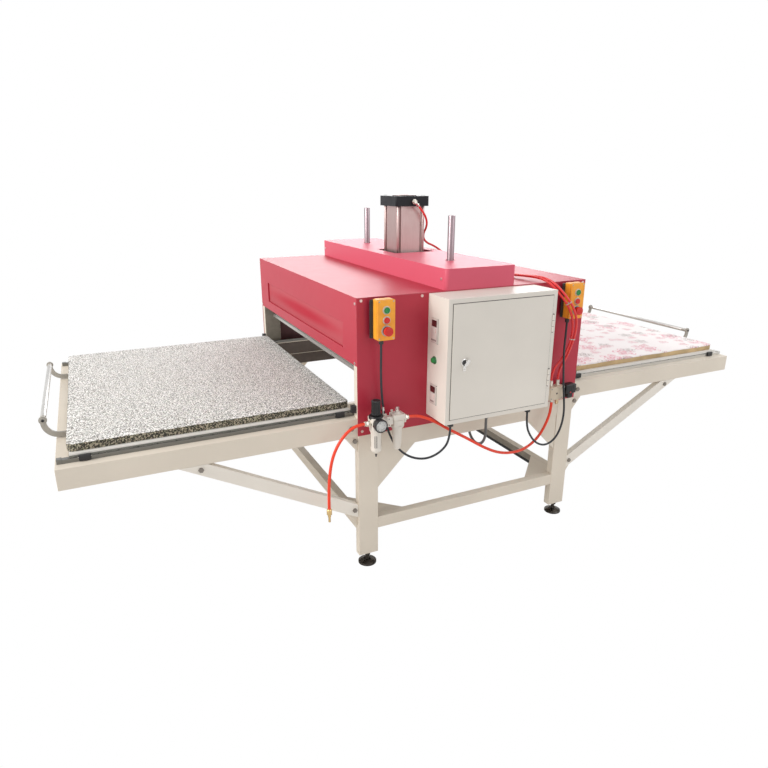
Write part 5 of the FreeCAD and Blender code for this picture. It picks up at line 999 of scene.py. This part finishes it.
def make_gauge():
    """Bezel, dial with ticks and plain numbers, and the glass of the pressure gauge."""
    at = (REGULATOR_X, -785, PORT_Z)
    bezel = Form().turned(
        ((21.8, 0.4), (25.3, 0.4), (26.2, -1.5), (26.2, -7), (25.3, -9), (21.8, -9)), (at[0], -785, at[2]), (0, -1, 0), 64,
        closed=True,
    )
    bezel.turned(((9, 0), (9, 6), (7, 7)), (at[0], -760, at[2]), (0, 1, 0), 6)
    piece("gauge_bezel", bezel, ["gauge_black"], "frame")
    dial = Form()
    dial.turned(((21.7, 0), (21.7, 0.35), (21.4, 0.5)), (at[0], -782.6, at[2]), (0, -1, 0), 64)
    dial.finish = 1
    for k in range(51):
        angle = math.radians(225 - 270 * k / 50)
        long = 3.6 if k % 10 == 0 else (2.4 if k % 5 == 0 else 1.5)
        thick = 0.28 if k % 10 == 0 else 0.13
        u = Vector((math.cos(angle), 0, math.sin(angle)))
        v = Vector((-math.sin(angle), 0, math.cos(angle)))
        middle = Vector((at[0], -783.1, at[2]))
        ring = [
            middle + u * (19.8 - long) - v * thick, middle + u * 19.8 - v * thick,
            middle + u * 19.8 + v * thick, middle + u * (19.8 - long) + v * thick,
        ]
        dial.loft([ring, [p + Vector((0, -0.12, 0)) for p in ring]])
    dial.ring((at[0], -783.1, at[2]), (0, -1, 0), 19.9, 20.3, 0.15, 0.05, 64)
    face = piece("gauge_dial", dial, [DIAL_WHITE, INK_AND_SHADE], "frame")
    for k in range(6):
        angle = math.radians(225 - 270 * k / 5)
        words = bpy.data.curves.new(f"gauge_number_{k}", "FONT")
        words.body = str(2 * k)
        words.size = 0.0052
        words.align_x = "CENTER"
        words.align_y = "CENTER"
        words.extrude = 0.00006
        words.materials.append(INK_AND_SHADE)
        number = bpy.data.objects.new(f"gauge_number_{k}", words)
        number.location = metres((at[0] + 13.2 * math.cos(angle), -783.26, at[2] + 13.2 * math.sin(angle)))
        number.rotation_euler = (math.radians(90), 0, 0)
        scene.collection.objects.link(number)
        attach(number, "frame")
    glass = Form().turned(((21.6, 0), (21.6, 0.5), (12, 0.9), (0, 1.0)), (at[0], -784.2, at[2]), (0, -1, 0), 48)
    piece("gauge_glass", glass, [CLEAR], "frame")


def make_valve():
    form = Form()
    form.block((349, -735, 616), (421, -697, 676), 1.2, 2.5)
    form.block((342, -734.2, 617), (348.6, -697.8, 675), 1.2, 2.5)
    form.block((421.4, -734.2, 617), (428, -697.8, 675), 1.2, 2.5)
    form.block((363.5, -697.2, 631), (406.5, -675, 661), 0.8)
    form.finish = 1
    for x in (356, 414):
        for z in (624, 668):
            form.screw((x, -735, z), (0, -1, 0), 6.4, 2.0, 2)
    for x in (345.3, 424.7):
        for z in (622, 670):
            form.turned(((2, 0), (2, 1.2), (1.6, 1.6)), (x, -734.2, z), (0, -1, 0), 14)
    form.finish = 2
    form.turned(((4.2, 0), (4.2, 0.25)), (385, -735, 646), (0, -1, 0), 24)
    piece("valve_block_detailed", form, ["valve_silver", SCREW, INK_AND_SHADE], "frame", ["air_valve"])

    coil = Form()
    coil.turned(((10, -0.6), (10, 9.6)), (428, -716, 655), (1, 0, 0), 24)
    coil.block((437, -735, 634), (493, -697, 676), 2.2, 5, along=0)
    for x in (446, 456, 466, 476):
        coil.block((x, -735.7, 633.4), (x + 3, -696.4, 676.6), 0.6, 5, along=0)
    coil.block((451, -732, 615), (479, -700, 634.4), 1.6, 3)
    coil.block((455, -729, 611.5), (475, -703, 615.6), 1.2, 2)
    coil.finish = 1
    coil.hexagon((493, -716, 655), (1, 0, 0), 13, 3.5)
    coil.screw((465, -716, 611.8), (0, 0, -1), 5.5, 2.0, 2)
    coil.finish = 3
    coil.turned(((3.6, 0), (3.6, 1.6), (2.8, 2.4)), (462, -735, 640.5), (0, -1, 0), 18)
    piece("valve_coil_detailed", coil, ["knob_black", SCREW, INK_AND_SHADE, RED_MARK], "frame")


def make_hose_ends():
    """Release collars and nuts of the push-in fittings, where each hose goes in."""
    form = Form()
    ends = (
        ((-535, -735, 660), (-1, 0, 0), 8.6, 6.25), ((-355, -735, 660), (1, 0, 0), 8.6, 6.25),
        ((375.5, -716, 606), (0, 0, -1), 7.6, 6.25), ((399.333, -716, 700), (0, 0, 1), 7.2, 5.25),
        ((363.5, -716, 700), (0, 0, 1), 7.2, 5.25), ((184.5, -20, 1168.5), (0, -1, 0), 7.2, 5.25),
        ((23.385, -99, 1421.865), (1, 0, -1), 6.8, 5.25),
    )
    for at, way, outer, inner in ends:
        way = Vector(way).normalized()
        form.finish = 0
        form.ring(Vector(at) - way * 0.3, way, inner, outer * 0.92, 2.2, 0.4)
        form.ring(Vector(at) + way * 1.9, way, inner, outer, 1.7, 0.5)
        form.finish = 1
        form.turned(((outer * 0.9, 0), (outer * 1.18, 0.8), (outer * 1.18, 6.4), (outer * 0.98, 7)), Vector(at) - way * 11, way, 6)
    form.finish = 1
    form.turned(((11.5, 0), (12.5, 1), (12.5, 5), (11, 6)), (5, -91.5, 1440.25), (0, -1, 0), 6)
    form.turned(((11, 0), (12, 1), (12, 5), (10.6, 6)), (150, 0, 1168.5), (1, 0, 0), 6)
    form.turned(((10.5, 0), (11.8, 1), (11.8, 6), (10.2, 7)), (-530, -735, 660), (1, 0, 0), 6)
    form.turned(((10.5, 0), (11.8, 1), (11.8, 6), (10.2, 7)), (-360, -735, 660), (-1, 0, 0), 6)
    for x in (363.5, 399.333):
        form.turned(((8.6, 0), (9.4, 0.8), (9.4, 5), (8.4, 5.8)), (x, -716, 676), (0, 0, 1), 6)
    piece("hose_end_collars", form, [TIE_WHITE, "fitting_white"], "frame")

    silencer = Form()
    for k in range(6):
        silencer.ring((404.3, -716, 611 - k * 3.4), (0, 0, -1), 5.6, 7.7, 2.2, 0.5, 24)
    silencer.turned(((6.9, 0), (5.2, 2.4), (2.5, 3.2)), (404.3, -716, 590.5), (0, 0, -1), 24)
    piece("silencer_rings", silencer, ["plug_brass"], "frame")


# Switch boxes, control box and its instruments

def make_switch_trim(hand, side):
    x = side * 447
    form = Form()
    form.finish = 0
    # A dark bracket behind the switch box, showing at its left: a bracket, and painted shade of the gap behind the
    # box.
    bracket_gap_shade = (x - 49, x + 30.6)
    form.block((bracket_gap_shade[0], -695.2, 978), (bracket_gap_shade[1], -691.5, 1122), 0.8, 3, along=1)
    form.block((x - 31, -692, 979.4), (x + 30.6, -675, 1120.6), 0.8, 3, along=1)
    for z in (990, 1110):
        form.screw((x - 42, -695.2, z), (0, -1, 0), 6, 2, 3)
    form.finish = 1
    for dx in (-28.5, 28.5):
        for dz in (6.5, 143.5):
            form.turned(((2.9, -0.6), (2.9, 0.5), (2.3, 1.1)), (x + dx, -735, 975 + dz), (0, -1, 0), 16)
            form.finish = 3
            form.block((x + dx - 2.0, -736.25, 975 + dz - 0.35), (x + dx + 2.0, -735.9, 975 + dz + 0.35), 0.1)
            form.finish = 1
    for up, outer in ((112, 15.4), (75, 15.4)):
        form.finish = 2
        form.ring((x, -735, 975 + up), (0, -1, 0), 11.5, outer, 2.2, 0.8, 48)
        form.finish = 1
        form.ring((x, -737.2, 975 + up), (0, -1, 0), 11.5, 14.6, 2.4, 0.9, 48)
    form.finish = 2
    form.ring((x, -735, 975 + 36), (0, -1, 0), 8.5, 20.5, 1.0, 0.3, 48)
    form.finish = 3
    form.ring((x, -736, 975 + 36), (0, -1, 0), 8.5, 15.4, 3.6, 0.8, 48)
    piece(f"{hand}_switch_trim", form, ["sensor_black", SCREW, PANEL_GREY, INK_AND_SHADE], "frame")
    seam = Form()
    ring = [Vector((a, -728, b)) for a, b in rounded_ring((x - 35.3, 974.7), (x + 35.3, 1125.3), 5.4, 4)]
    seam.pipe(ring, 0.45, 6, closed=True)
    piece(f"{hand}_switch_seam", seam, [INK_AND_SHADE], "frame")
    head = Form()
    head.turned(
        ((13, 0), (17.2, 0.8), (17.6, 3), (17.6, 8), (16.8, 10.6), (14, 12.4), (9, 13.1), (0, 13.3)),
        (x, -745.8, 975 + 36), (0, -1, 0), 72, ribs=24, rib_depth=0.5,
    )
    piece(f"{hand}_stop_head", head, ["button_red"], f"{hand}_estop")


def make_instruments():
    """Faces of the temperature controller and the timer, on the left side of the control box."""
    form = Form()
    face = -242
    for middle, high, keys in ((989, 96, 4), (734, 80, 3)):
        low, top = middle - high / 2, middle + high / 2
        form.finish = 3
        form.block((face - 0.3, -754.4, low - 0.4), (face + 4.1, -705.6, top + 0.4), 1.2, 3, along=0)
        form.finish = 1
        form.block((face - 1.6, -751.5, low + 2.5), (face - 0.1, -708.5, top - 2.5), 0.8, 3, along=0)
        form.finish = 0
        form.block((face - 2.2, -748.5, top - 31), (face - 1.4, -712.5, top - 6), 0.5, 1.5, along=0)
        form.finish = 2
        form.block((face - 2.0, -748.5, low + 5), (face - 1.4, -711.5, top - 35), 0.5, 2, along=0)
        form.finish = 4
        for k in range(keys):
            y = -730 + (k - (keys - 1) / 2) * 9
            form.block((face - 3.2, y - 3.2, low + 9), (face - 1.9, y + 3.2, low + 16), 0.6, 1.6, along=0)
        form.finish = 5
        for k in range(3):
            z = top - 40 - k * 6
            form.turned(((1.3, 0), (1.3, 0.5), (0.7, 0.9)), (face - 1.9, -743, z), (-1, 0, 0), 14)
    piece(
        "instrument_faces", form,
        [DISPLAY, PANEL_GREY, KEY_GREY, PANEL_GREY, BEZEL_BROWN, RED_MARK],
        "frame",
    )
    digits = Form()
    for top in (1037, 774):
        for k in range(4):
            y = -743.6 + k * 8.8
            for dz in (-6.4, 0.0, 6.4):
                digits.block((face - 2.4, y - 2.2, top - 18.9 + dz), (face - 2.1, y + 2.2, top - 18.1 + dz), 0.08)
            for dy in (-2.8, 2.8):
                for dz in (-3.2, 3.2):
                    digits.block(
                        (face - 2.4, y + dy - 0.4, top - 18.5 + dz - 2.4),
                        (face - 2.1, y + dy + 0.4, top - 18.5 + dz + 2.4), 0.08,
                    )
    piece("display_segments", digits, [plastic("segment_unlit", (0.16, 0.03, 0.03), 0.3)], "frame")

    bezel = Form()
    bezel.ring((-238, -730, 873), (-1, 0, 0), 11.6, 15.8, 3.4, 1.4, 48)
    piece("power_bezel", bezel, ["button_green"], "frame")
    cap = Form().turned(
        ((8, 0), (10.8, 0.5), (10.8, 4), (10, 6), (7, 7.4), (0, 8)), (-243.5, -730, 873), (-1, 0, 0), 40,
    )
    piece("power_dome", cap, ["button_green"], "power")


def make_door_details():
    """Lock plate and wing lever, hinge pins, gasket lip round the door, dark also as painted shade of its gap, and the
    door's inner stiffeners.
    """
    plate = Form()
    plate.turned(((14.5, 0), (14.5, 1.0), (13.2, 1.8)), (-163, -826.3, 879), (0, -1, 0), 40)
    plate.block((-169.5, -828.2, 844), (-156.5, -826.3, 866), 0.6, 5, along=1)
    plate.turned(((4.2, 0), (4.2, 0.9), (3.4, 1.3)), (-163, -828.0, 854), (0, -1, 0), 24)
    plate.finish = 1
    plate.block((-163.5, -829.6, 851.6), (-162.5, -829.1, 856.4), 0.1)
    piece("lock_escutcheon", plate, ["lock_chrome", INK_AND_SHADE], "door")
    lever = Form()
    lever.finish = 1
    lever.turned(((11.5, 0), (11.5, 4.4), (10.6, 5.4), (4, 5.6)), (-163, -828.2, 879), (0, -1, 0), 40)
    lever.finish = 0
    lever.loft([
        [(-172 + dx, -833.4 - out, 874 + dz) for dx, dz in ((0, 0), (11, -8.5), (29, 13), (18, 21.5))]
        for out in (0, 7.5)
    ] + [[(-170.5 + dx, -841.9, 874.6 + dz) for dx, dz in ((0, 0), (9.4, -7.1), (26, 12.6), (16.6, 19.7))]])
    piece("lock_lever", lever, ["lock_chrome", INK_AND_SHADE], "lock")
    pins = Form()
    for middle in (766, 992):
        for z, way in ((middle + 35, 1), (middle - 35, -1)):
            pins.turned(((3.2, -0.4), (3.2, 2.2), (2.4, 3)), (246.9, -827.5, z), (0, 0, way), 20)
        for z in (middle - 12, middle + 12):
            pins.ring((246.9, -827.5, z - 0.7), (0, 0, 1), 4.2, 4.75, 1.4, 0.1, 28)
    piece("hinge_pins", pins, [DARK_STEEL], "frame")
    # A dark lip round the door: the gasket, and painted shade of the gap between door and box.
    lip = Form()
    low, high = (-220.8, 651.2), (244.8, 1106.8)
    for a, b in (
        (low, (-218.3, high[1])), ((242.3, low[1]), high),
        (low, (high[0], 653.7)), ((low[0], 1104.3), high),
    ):
        lip.block((a[0], -823.7, a[1]), (b[0], -822.7, b[1]), 0.3)
    piece("gasket_lip_gap_shade", lip, [GASKET_GAP_SHADE], "frame")
    inner = Form()
    for z in ((700, 852), (906, 1058)):
        inner.block((-190, -823.2, z[0]), (-184, -811, z[1]), 1.0)
    inner.block((208, -823.2, 700), (214, -811, 1058), 1.0)
    inner.block((-184, -823.2, 760), (208, -813, 766), 1.0)
    piece("door_stiffeners", inner, ["box_ivory"], "door")


def make_switchgear():
    """What the open control box shows: plate, rails, contactors, breakers, ducts, terminals and wires."""
    back = -683
    form = Form()
    form.finish = 0
    form.block((-176, back - 3, 655), (240, back, 1100), 1.0, 4, along=1)
    form.finish = 1
    for z in (1020, 880, 740):
        form.block((-170, back - 9, z - 17), (226, back - 3, z + 17), 1.2)
        form.block((-170, back - 12, z - 17.5), (226, back - 9, z - 14), 0.5)
        form.block((-170, back - 12, z + 14), (226, back - 9, z + 17.5), 0.5)
    form.finish = 2
    for z in (1081, 950, 810, 672):
        form.block((-170, back - 44, z - 13), (230, back - 3, z + 13), 1.2)
        for k in range(38):
            x = -164 + k * 10.2
            form.block((x, back - 40, z - 13.8), (x + 4, back - 12, z + 13.8), 0.3)
    piece("box_rails_and_ducts", form, ["box_ivory", SCREW, DUCT_GREY], "frame")
    gear = Form()
    for x in (-140, -84, -28):
        gear.finish = 0
        gear.block((x - 25, back - 70, 985), (x + 25, back - 12, 1055), 1.6, 3)
        gear.finish = 1
        gear.block((x - 18, back - 80, 1003), (x + 18, back - 69, 1037), 1.2)
        for k in range(3):
            for z in (991, 1049):
                gear.finish = 2
                gear.turned(((3.4, 0), (3.4, 1.6), (2.8, 2)), (x - 15 + 15 * k, back - 70, z), (0, -1, 0), 14)
    for n in range(5):
        x = 45 + n * 32
        gear.finish = 0
        gear.block((x, back - 62, 988), (x + 30, back - 12, 1052), 1.4, 2)
        gear.finish = 1
        gear.block((x + 9, back - 72, 1012), (x + 21, back - 61, 1030), 1.4)
    for n in range(4):
        x = -166 + n * 46
        gear.finish = 1
        gear.block((x, back - 66, 852), (x + 36, back - 12, 908), 1.4, 3)
        gear.finish = 0
        gear.block((x + 4, back - 72, 866), (x + 32, back - 65, 896), 1.0)
    gear.finish = 1
    gear.block((30, back - 88, 836), (205, back - 12, 924), 2.0, 3)
    for k in range(9):
        gear.block((44 + k * 17, back - 91, 842), (50 + k * 17, back - 87, 918), 0.6)
    for n in range(27):
        x = -160 + n * 13.6
        gear.finish = 3 if n % 6 == 5 else 0
        gear.block((x, back - 52, 718), (x + 12, back - 10, 762), 0.8)
        gear.finish = 2
        gear.turned(((2.6, 0), (2.6, 0.8)), (x + 6, back - 52, 730), (0, -1, 0), 10)
        gear.turned(((2.6, 0), (2.6, 0.8)), (x + 6, back - 52, 750), (0, -1, 0), 10)
    piece("contactors_and_terminals", gear, [CONTACTOR, "sensor_black", SCREW, RED_MARK], "frame")
    pick = random.Random(5)
    wires = Form()
    for n in range(24):
        wires.finish = n % 3
        x = -154 + n * 15.5
        wires.pipe(
            [(x, back - 50, 764), (x + pick.uniform(-2, 2), back - 55, 776), (x + pick.uniform(-4, 4), back - 50, 790),
             (x, back - 38, 800)],
            1.5, 7,
        )
        wires.pipe(
            [(x, back - 50, 716), (x + pick.uniform(-2, 2), back - 55, 706), (x + pick.uniform(-4, 4), back - 48, 694),
             (x, back - 38, 684)],
            1.5, 7,
        )
    for n in range(12):
        wires.finish = (n + 1) % 3
        x = -154 + n * 12.4
        wires.pipe([(x, back - 68, 985), (x, back - 74, 976), (x, back - 62, 966), (x, back - 40, 962)], 1.7, 7)
    piece("box_wires", wires, [COPPER_WIRE, BLUE_WIRE, INK_AND_SHADE], "frame")


# Cylinder, rails, carriages, handles and welds

def make_cylinder_details():
    form = Form()
    form.finish = 0
    for x in (-66, 66):
        for y in (-66, 66):
            form.ring((x, y, 1467.6), (0, 0, 1), 6.2, 9.6, 0.6, 0.2, 30)
            form.turned(((5.8, 0), (5.8, 0.2)), (x, y, 1467.7), (0, 0, 1), 6)
    piece("tie_rod_nuts", form, ["cap_black"], "frame")
    plate = Form()
    plate.turned(((50, 0), (54.5, 0.4), (54.5, 1.2), (53.6, 1.8), (30, 2.0), (29, 1.2), (0, 1.2)), (0, 0, 1467.6), (0, 0, 1), 72)
    piece("cap_face", plate, ["barrel_aluminium"], "frame")
    rods = Form()
    for y in (-434, 434):
        rods.turned(((8.5, 0), (9.2, 0.4), (4.4, 0.5), (4.0, 0.2), (0, 0.2)), (0, y, 1394.9), (0, 0, 1), 36)
    piece("rod_centres", rods, [SLOT_DARK], "press")
    wipers = Form()
    for y in (-434, 434):
        wipers.ring((0, y, 1188), (0, 0, 1), 15.3, 25, 4.5, 1.2, 48)
        for k in range(4):
            angle = math.radians(45 + 90 * k)
            wipers.finish = 1
            wipers.screw((38 * math.cos(angle), y + 38 * math.sin(angle), 1158), (0, 0, 1), 9, 6, 2)
            wipers.finish = 0
    piece("rod_wipers", wipers, ["sensor_black", SCREW, INK_AND_SHADE], "frame")


def make_rail_screws():
    form = Form()
    for side in (-1, 1):
        for y in (-618, 618):
            for k in range(16):
                x = side * (582 + k * 62)
                form.finish = 0
                form.ring((x, y, 671.7), (0, 0, 1), 3.6, 5.6, 0.5, 0.15, 20)
                form.finish = 1
                form.turned(((3.6, 0), (3.6, 0.35)), (x, y, 671.7), (0, 0, 1), 12)
    for y in (-618, 618):
        for k in range(17):
            x = -496 + k * 62
            form.finish = 0
            form.ring((x, y, 671.7), (0, 0, 1), 3.6, 5.6, 0.5, 0.15, 20)
            form.finish = 1
            form.turned(((3.6, 0), (3.6, 0.35)), (x, y, 671.7), (0, 0, 1), 12)
    piece("rail_screws", form, ["rail_steel", INK_AND_SHADE], "frame")


def make_table_details(hand, side):
    """Carriage seals and grease nipples, and the screws at the ends of the handle."""
    form = Form()
    for x in (side * 595, side * 1491):
        for y in (-618, 618):
            out = 1 if y > 0 else -1
            for end in (-1, 1):
                form.finish = 0
                near = x + end * 17.2
                form.block((near - 1.4, y + out * 3 - 12, 661.5), (near + 1.4, y + out * 3 + 12, 678.5), 0.5, 1.5, along=0)
                form.finish = 1
                form.turned(((2.0, 0), (2.0, 1.5), (1.3, 2.2)), (near + end * 1.2, y + out * 10, 672), (end, 0, 0), 12)
    piece(f"{hand}_carriage_seals", form, ["knob_black", SCREW], f"{hand}_table")
    # A strip low on the tray's rim: dark on the left as painted shade of the gap above the rail, plain tray white on
    # the right.
    strip = Form()
    along = sorted((side * 549.5, side * 1536.5))
    for out in (-1, 1):
        y = sorted((out * 624.9, out * 625.4))
        strip.block((along[0], y[0], 675.4), (along[1], y[1], 681.2), 0.15)
    piece(f"{hand}_tray_strip", strip, [GAP_SHADE_STRIP if side < 0 else "tray_white"], f"{hand}_table")
    sleeve = Form()
    sleeve.turned(((9.2, 0), (9.7, 0.8), (9.7, 699.2), (9.2, 700)), (side * 1614, -350, 731), (0, 1, 0), 36)
    piece(f"{hand}_grip_sleeve", sleeve, [GRIP_STEEL], f"{hand}_table")
    bolts = Form()
    for y in (-1, 1):
        bolts.finish = 1
        bolts.turned(((9.6, 0), (9.6, 1.4), (8.6, 2.2)), (side * 1614, y * 384, 731), (0, y, 0), 28)
        bolts.finish = 2
        bolts.screw((side * 1614, y * 386, 731), (0, y, 0), 10, 3.2, 2)
        bolts.finish = 0
    piece(f"{hand}_handle_screws", bolts, ["handle_paint", "handle_paint", INK_AND_SHADE], f"{hand}_table")


def make_welds():
    """Painted weld beads where the frame's tubes and plates meet."""
    form = Form()
    seed = 1
    for sx in (-1, 1):
        for sy in (-1, 1):
            face = sy * 668
            seams = [
                ((sx * 538.6, face, 584), (sx * 538.6, face, 657)),
                ((sx * 538.6, sy * 608.5, 584), (sx * 538.6, sy * 608.5, 657)),
                ((sx * 538.4, sy * 667, 227), (sx * 538.4, sy * 667, 284)),
                ((sx * 452.6, sy * 673, 162), (sx * 452.6, sy * 673, 209)),
                ((sx * 452.6, sy * 673, 515), (sx * 452.6, sy * 673, 588)),
                ((sx * 502.6, sy * 636, 210.4), (sx * 330, sy * 637.4, 210.4)),
                ((sx * 452.4, sy * 668, 345), (sx * 452.4, sy * 668, 512)),
                ((sx * 284, sy * 668.4, 513.6), (sx * 450, sy * 668.4, 513.6)),
                ((sx * 1542.4, sy * 607.2, 584), (sx * 1542.4, sy * 607.2, 657)),
            ]
            for start, end in seams:
                seed += 1
                form.bead(start, end, 1.5, seed)
    piece("weld_beads", form, ["frame_ivory"], "frame")


def make_painted_shade_insides():
    """Painted shade on the machine's shaded inner faces: a dark brown sheet above a blacker strip on the low side
    stretchers, and dark sheets on the back legs and back beams; also the recess panels and a dark sheet inside the
    back cover.
    """
    form = Form()
    for side in (-1, 1):
        x = sorted((side * 503, side * 502.6))
        # Painted shade: a dark brown sheet on the stretcher's inner side, with a black strip below it.
        form.finish = 0
        form.block((x[0], -630, 177), (x[1], 630, 209), 0.1)
        form.finish = 1
        form.block((x[0], -630, 161), (x[1], 630, 177), 0.1)
        # Painted shade on the inner faces of the back legs.
        form.finish = 2
        leg = sorted((side * 537, side * 454))
        form.block((leg[0], 637.6, 662), (leg[1], 638, 1060), 0.1)
    # Painted shade on the inner faces of the back beams.
    form.finish = 3
    form.block((-530, 603.6, 586), (530, 604, 655), 0.1)
    form.block((-450, 637.6, 515), (450, 638, 588.8), 0.1)
    piece("painted_shade_insides", form, [SHADE_BROWN, INK_AND_SHADE, LEG_SHADE, SHADE_DARK], "frame")
    panel = Form()
    for side in (-1, 1):
        x = sorted((side * 532.4, side * 531.9))
        panel.block((x[0], -534.4, 912.6), (x[1], 534.4, 1012.4), 0.1)
    piece("recess_panels", panel, [RECESS_RED], "frame")
    # Painted shade: a dark red sheet inside the back cover.
    shade_sheet = Form()
    shade_sheet.block((-452, 671.9, 662), (452, 672.4, 1058), 0.1)
    piece("cover_painted_shade", shade_sheet, [INNER_RED_SHADE], "frame")


def make_beam_caps():
    """Flat ivory rings at the ends of the braces' bolt sleeves."""
    form = Form()
    for sx in (-1, 1):
        for sy in (-1, 1):
            for x, z in ((1136, 566), (555, 264)):
                form.finish = 0
                form.ring((sx * x, sy * 668.2, z), (0, sy, 0), 8.6, 13.5, 1.6, 0.5, 30)
    piece("bolt_washers", form, [BRACE_IVORY], "frame")


def make_pieces():
    for hand, side in (("left", -1), ("right", 1)):
        make_pad(hand, side)
        make_switch_trim(hand, side)
        make_table_details(hand, side)
    make_blanket()
    make_air_unit()
    make_gauge()
    make_valve()
    make_hose_ends()
    make_instruments()
    make_door_details()
    make_switchgear()
    make_cylinder_details()
    make_rail_screws()
    make_welds()
    make_painted_shade_insides()
    make_beam_caps()


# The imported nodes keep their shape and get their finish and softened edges

EDGES = {
    "frame_ivory": 1.4, "cover_red": 0.7, "box_ivory": 0.7, "tray_white": 0.6, "switch_orange": 0.8,
    "cap_black": 1.0, "barrel_aluminium": 0.8, "platen_aluminium": 0.8, "handle_paint": 0.8,
}


def dress_nodes():
    slots = {row["node"]: row["material_slot"] for row in frame["record"]["subparts"]}
    for name, node in frame["nodes"].items():
        slot = slots[name]
        # The riser cover takes the red with painted sheen.
        finish = {"riser_cover": RISER_SHEEN_RED, "wing_braces": BRACE_IVORY, "cover_screws": SCREW_PALE}.get(name, MATERIALS[slot])
        if node.data.materials:
            for k in range(len(node.data.materials)):
                node.data.materials[k] = finish
        else:
            node.data.materials.append(finish)
        weld = node.modifiers.new("joined", "WELD")
        weld.merge_threshold = 0.00001
        bevel = node.modifiers.new("edges", "BEVEL")
        bevel.width = EDGES.get(slot, 0.4) / 1000
        bevel.segments = 2
        bevel.limit_method = "ANGLE"
        bevel.angle_limit = math.radians(34)
        bevel.harden_normals = True
        bevel.use_clamp_overlap = True


make_camera()
make_light()
make_floor()
make_cords()
make_ties()
make_pieces()
dress_nodes()
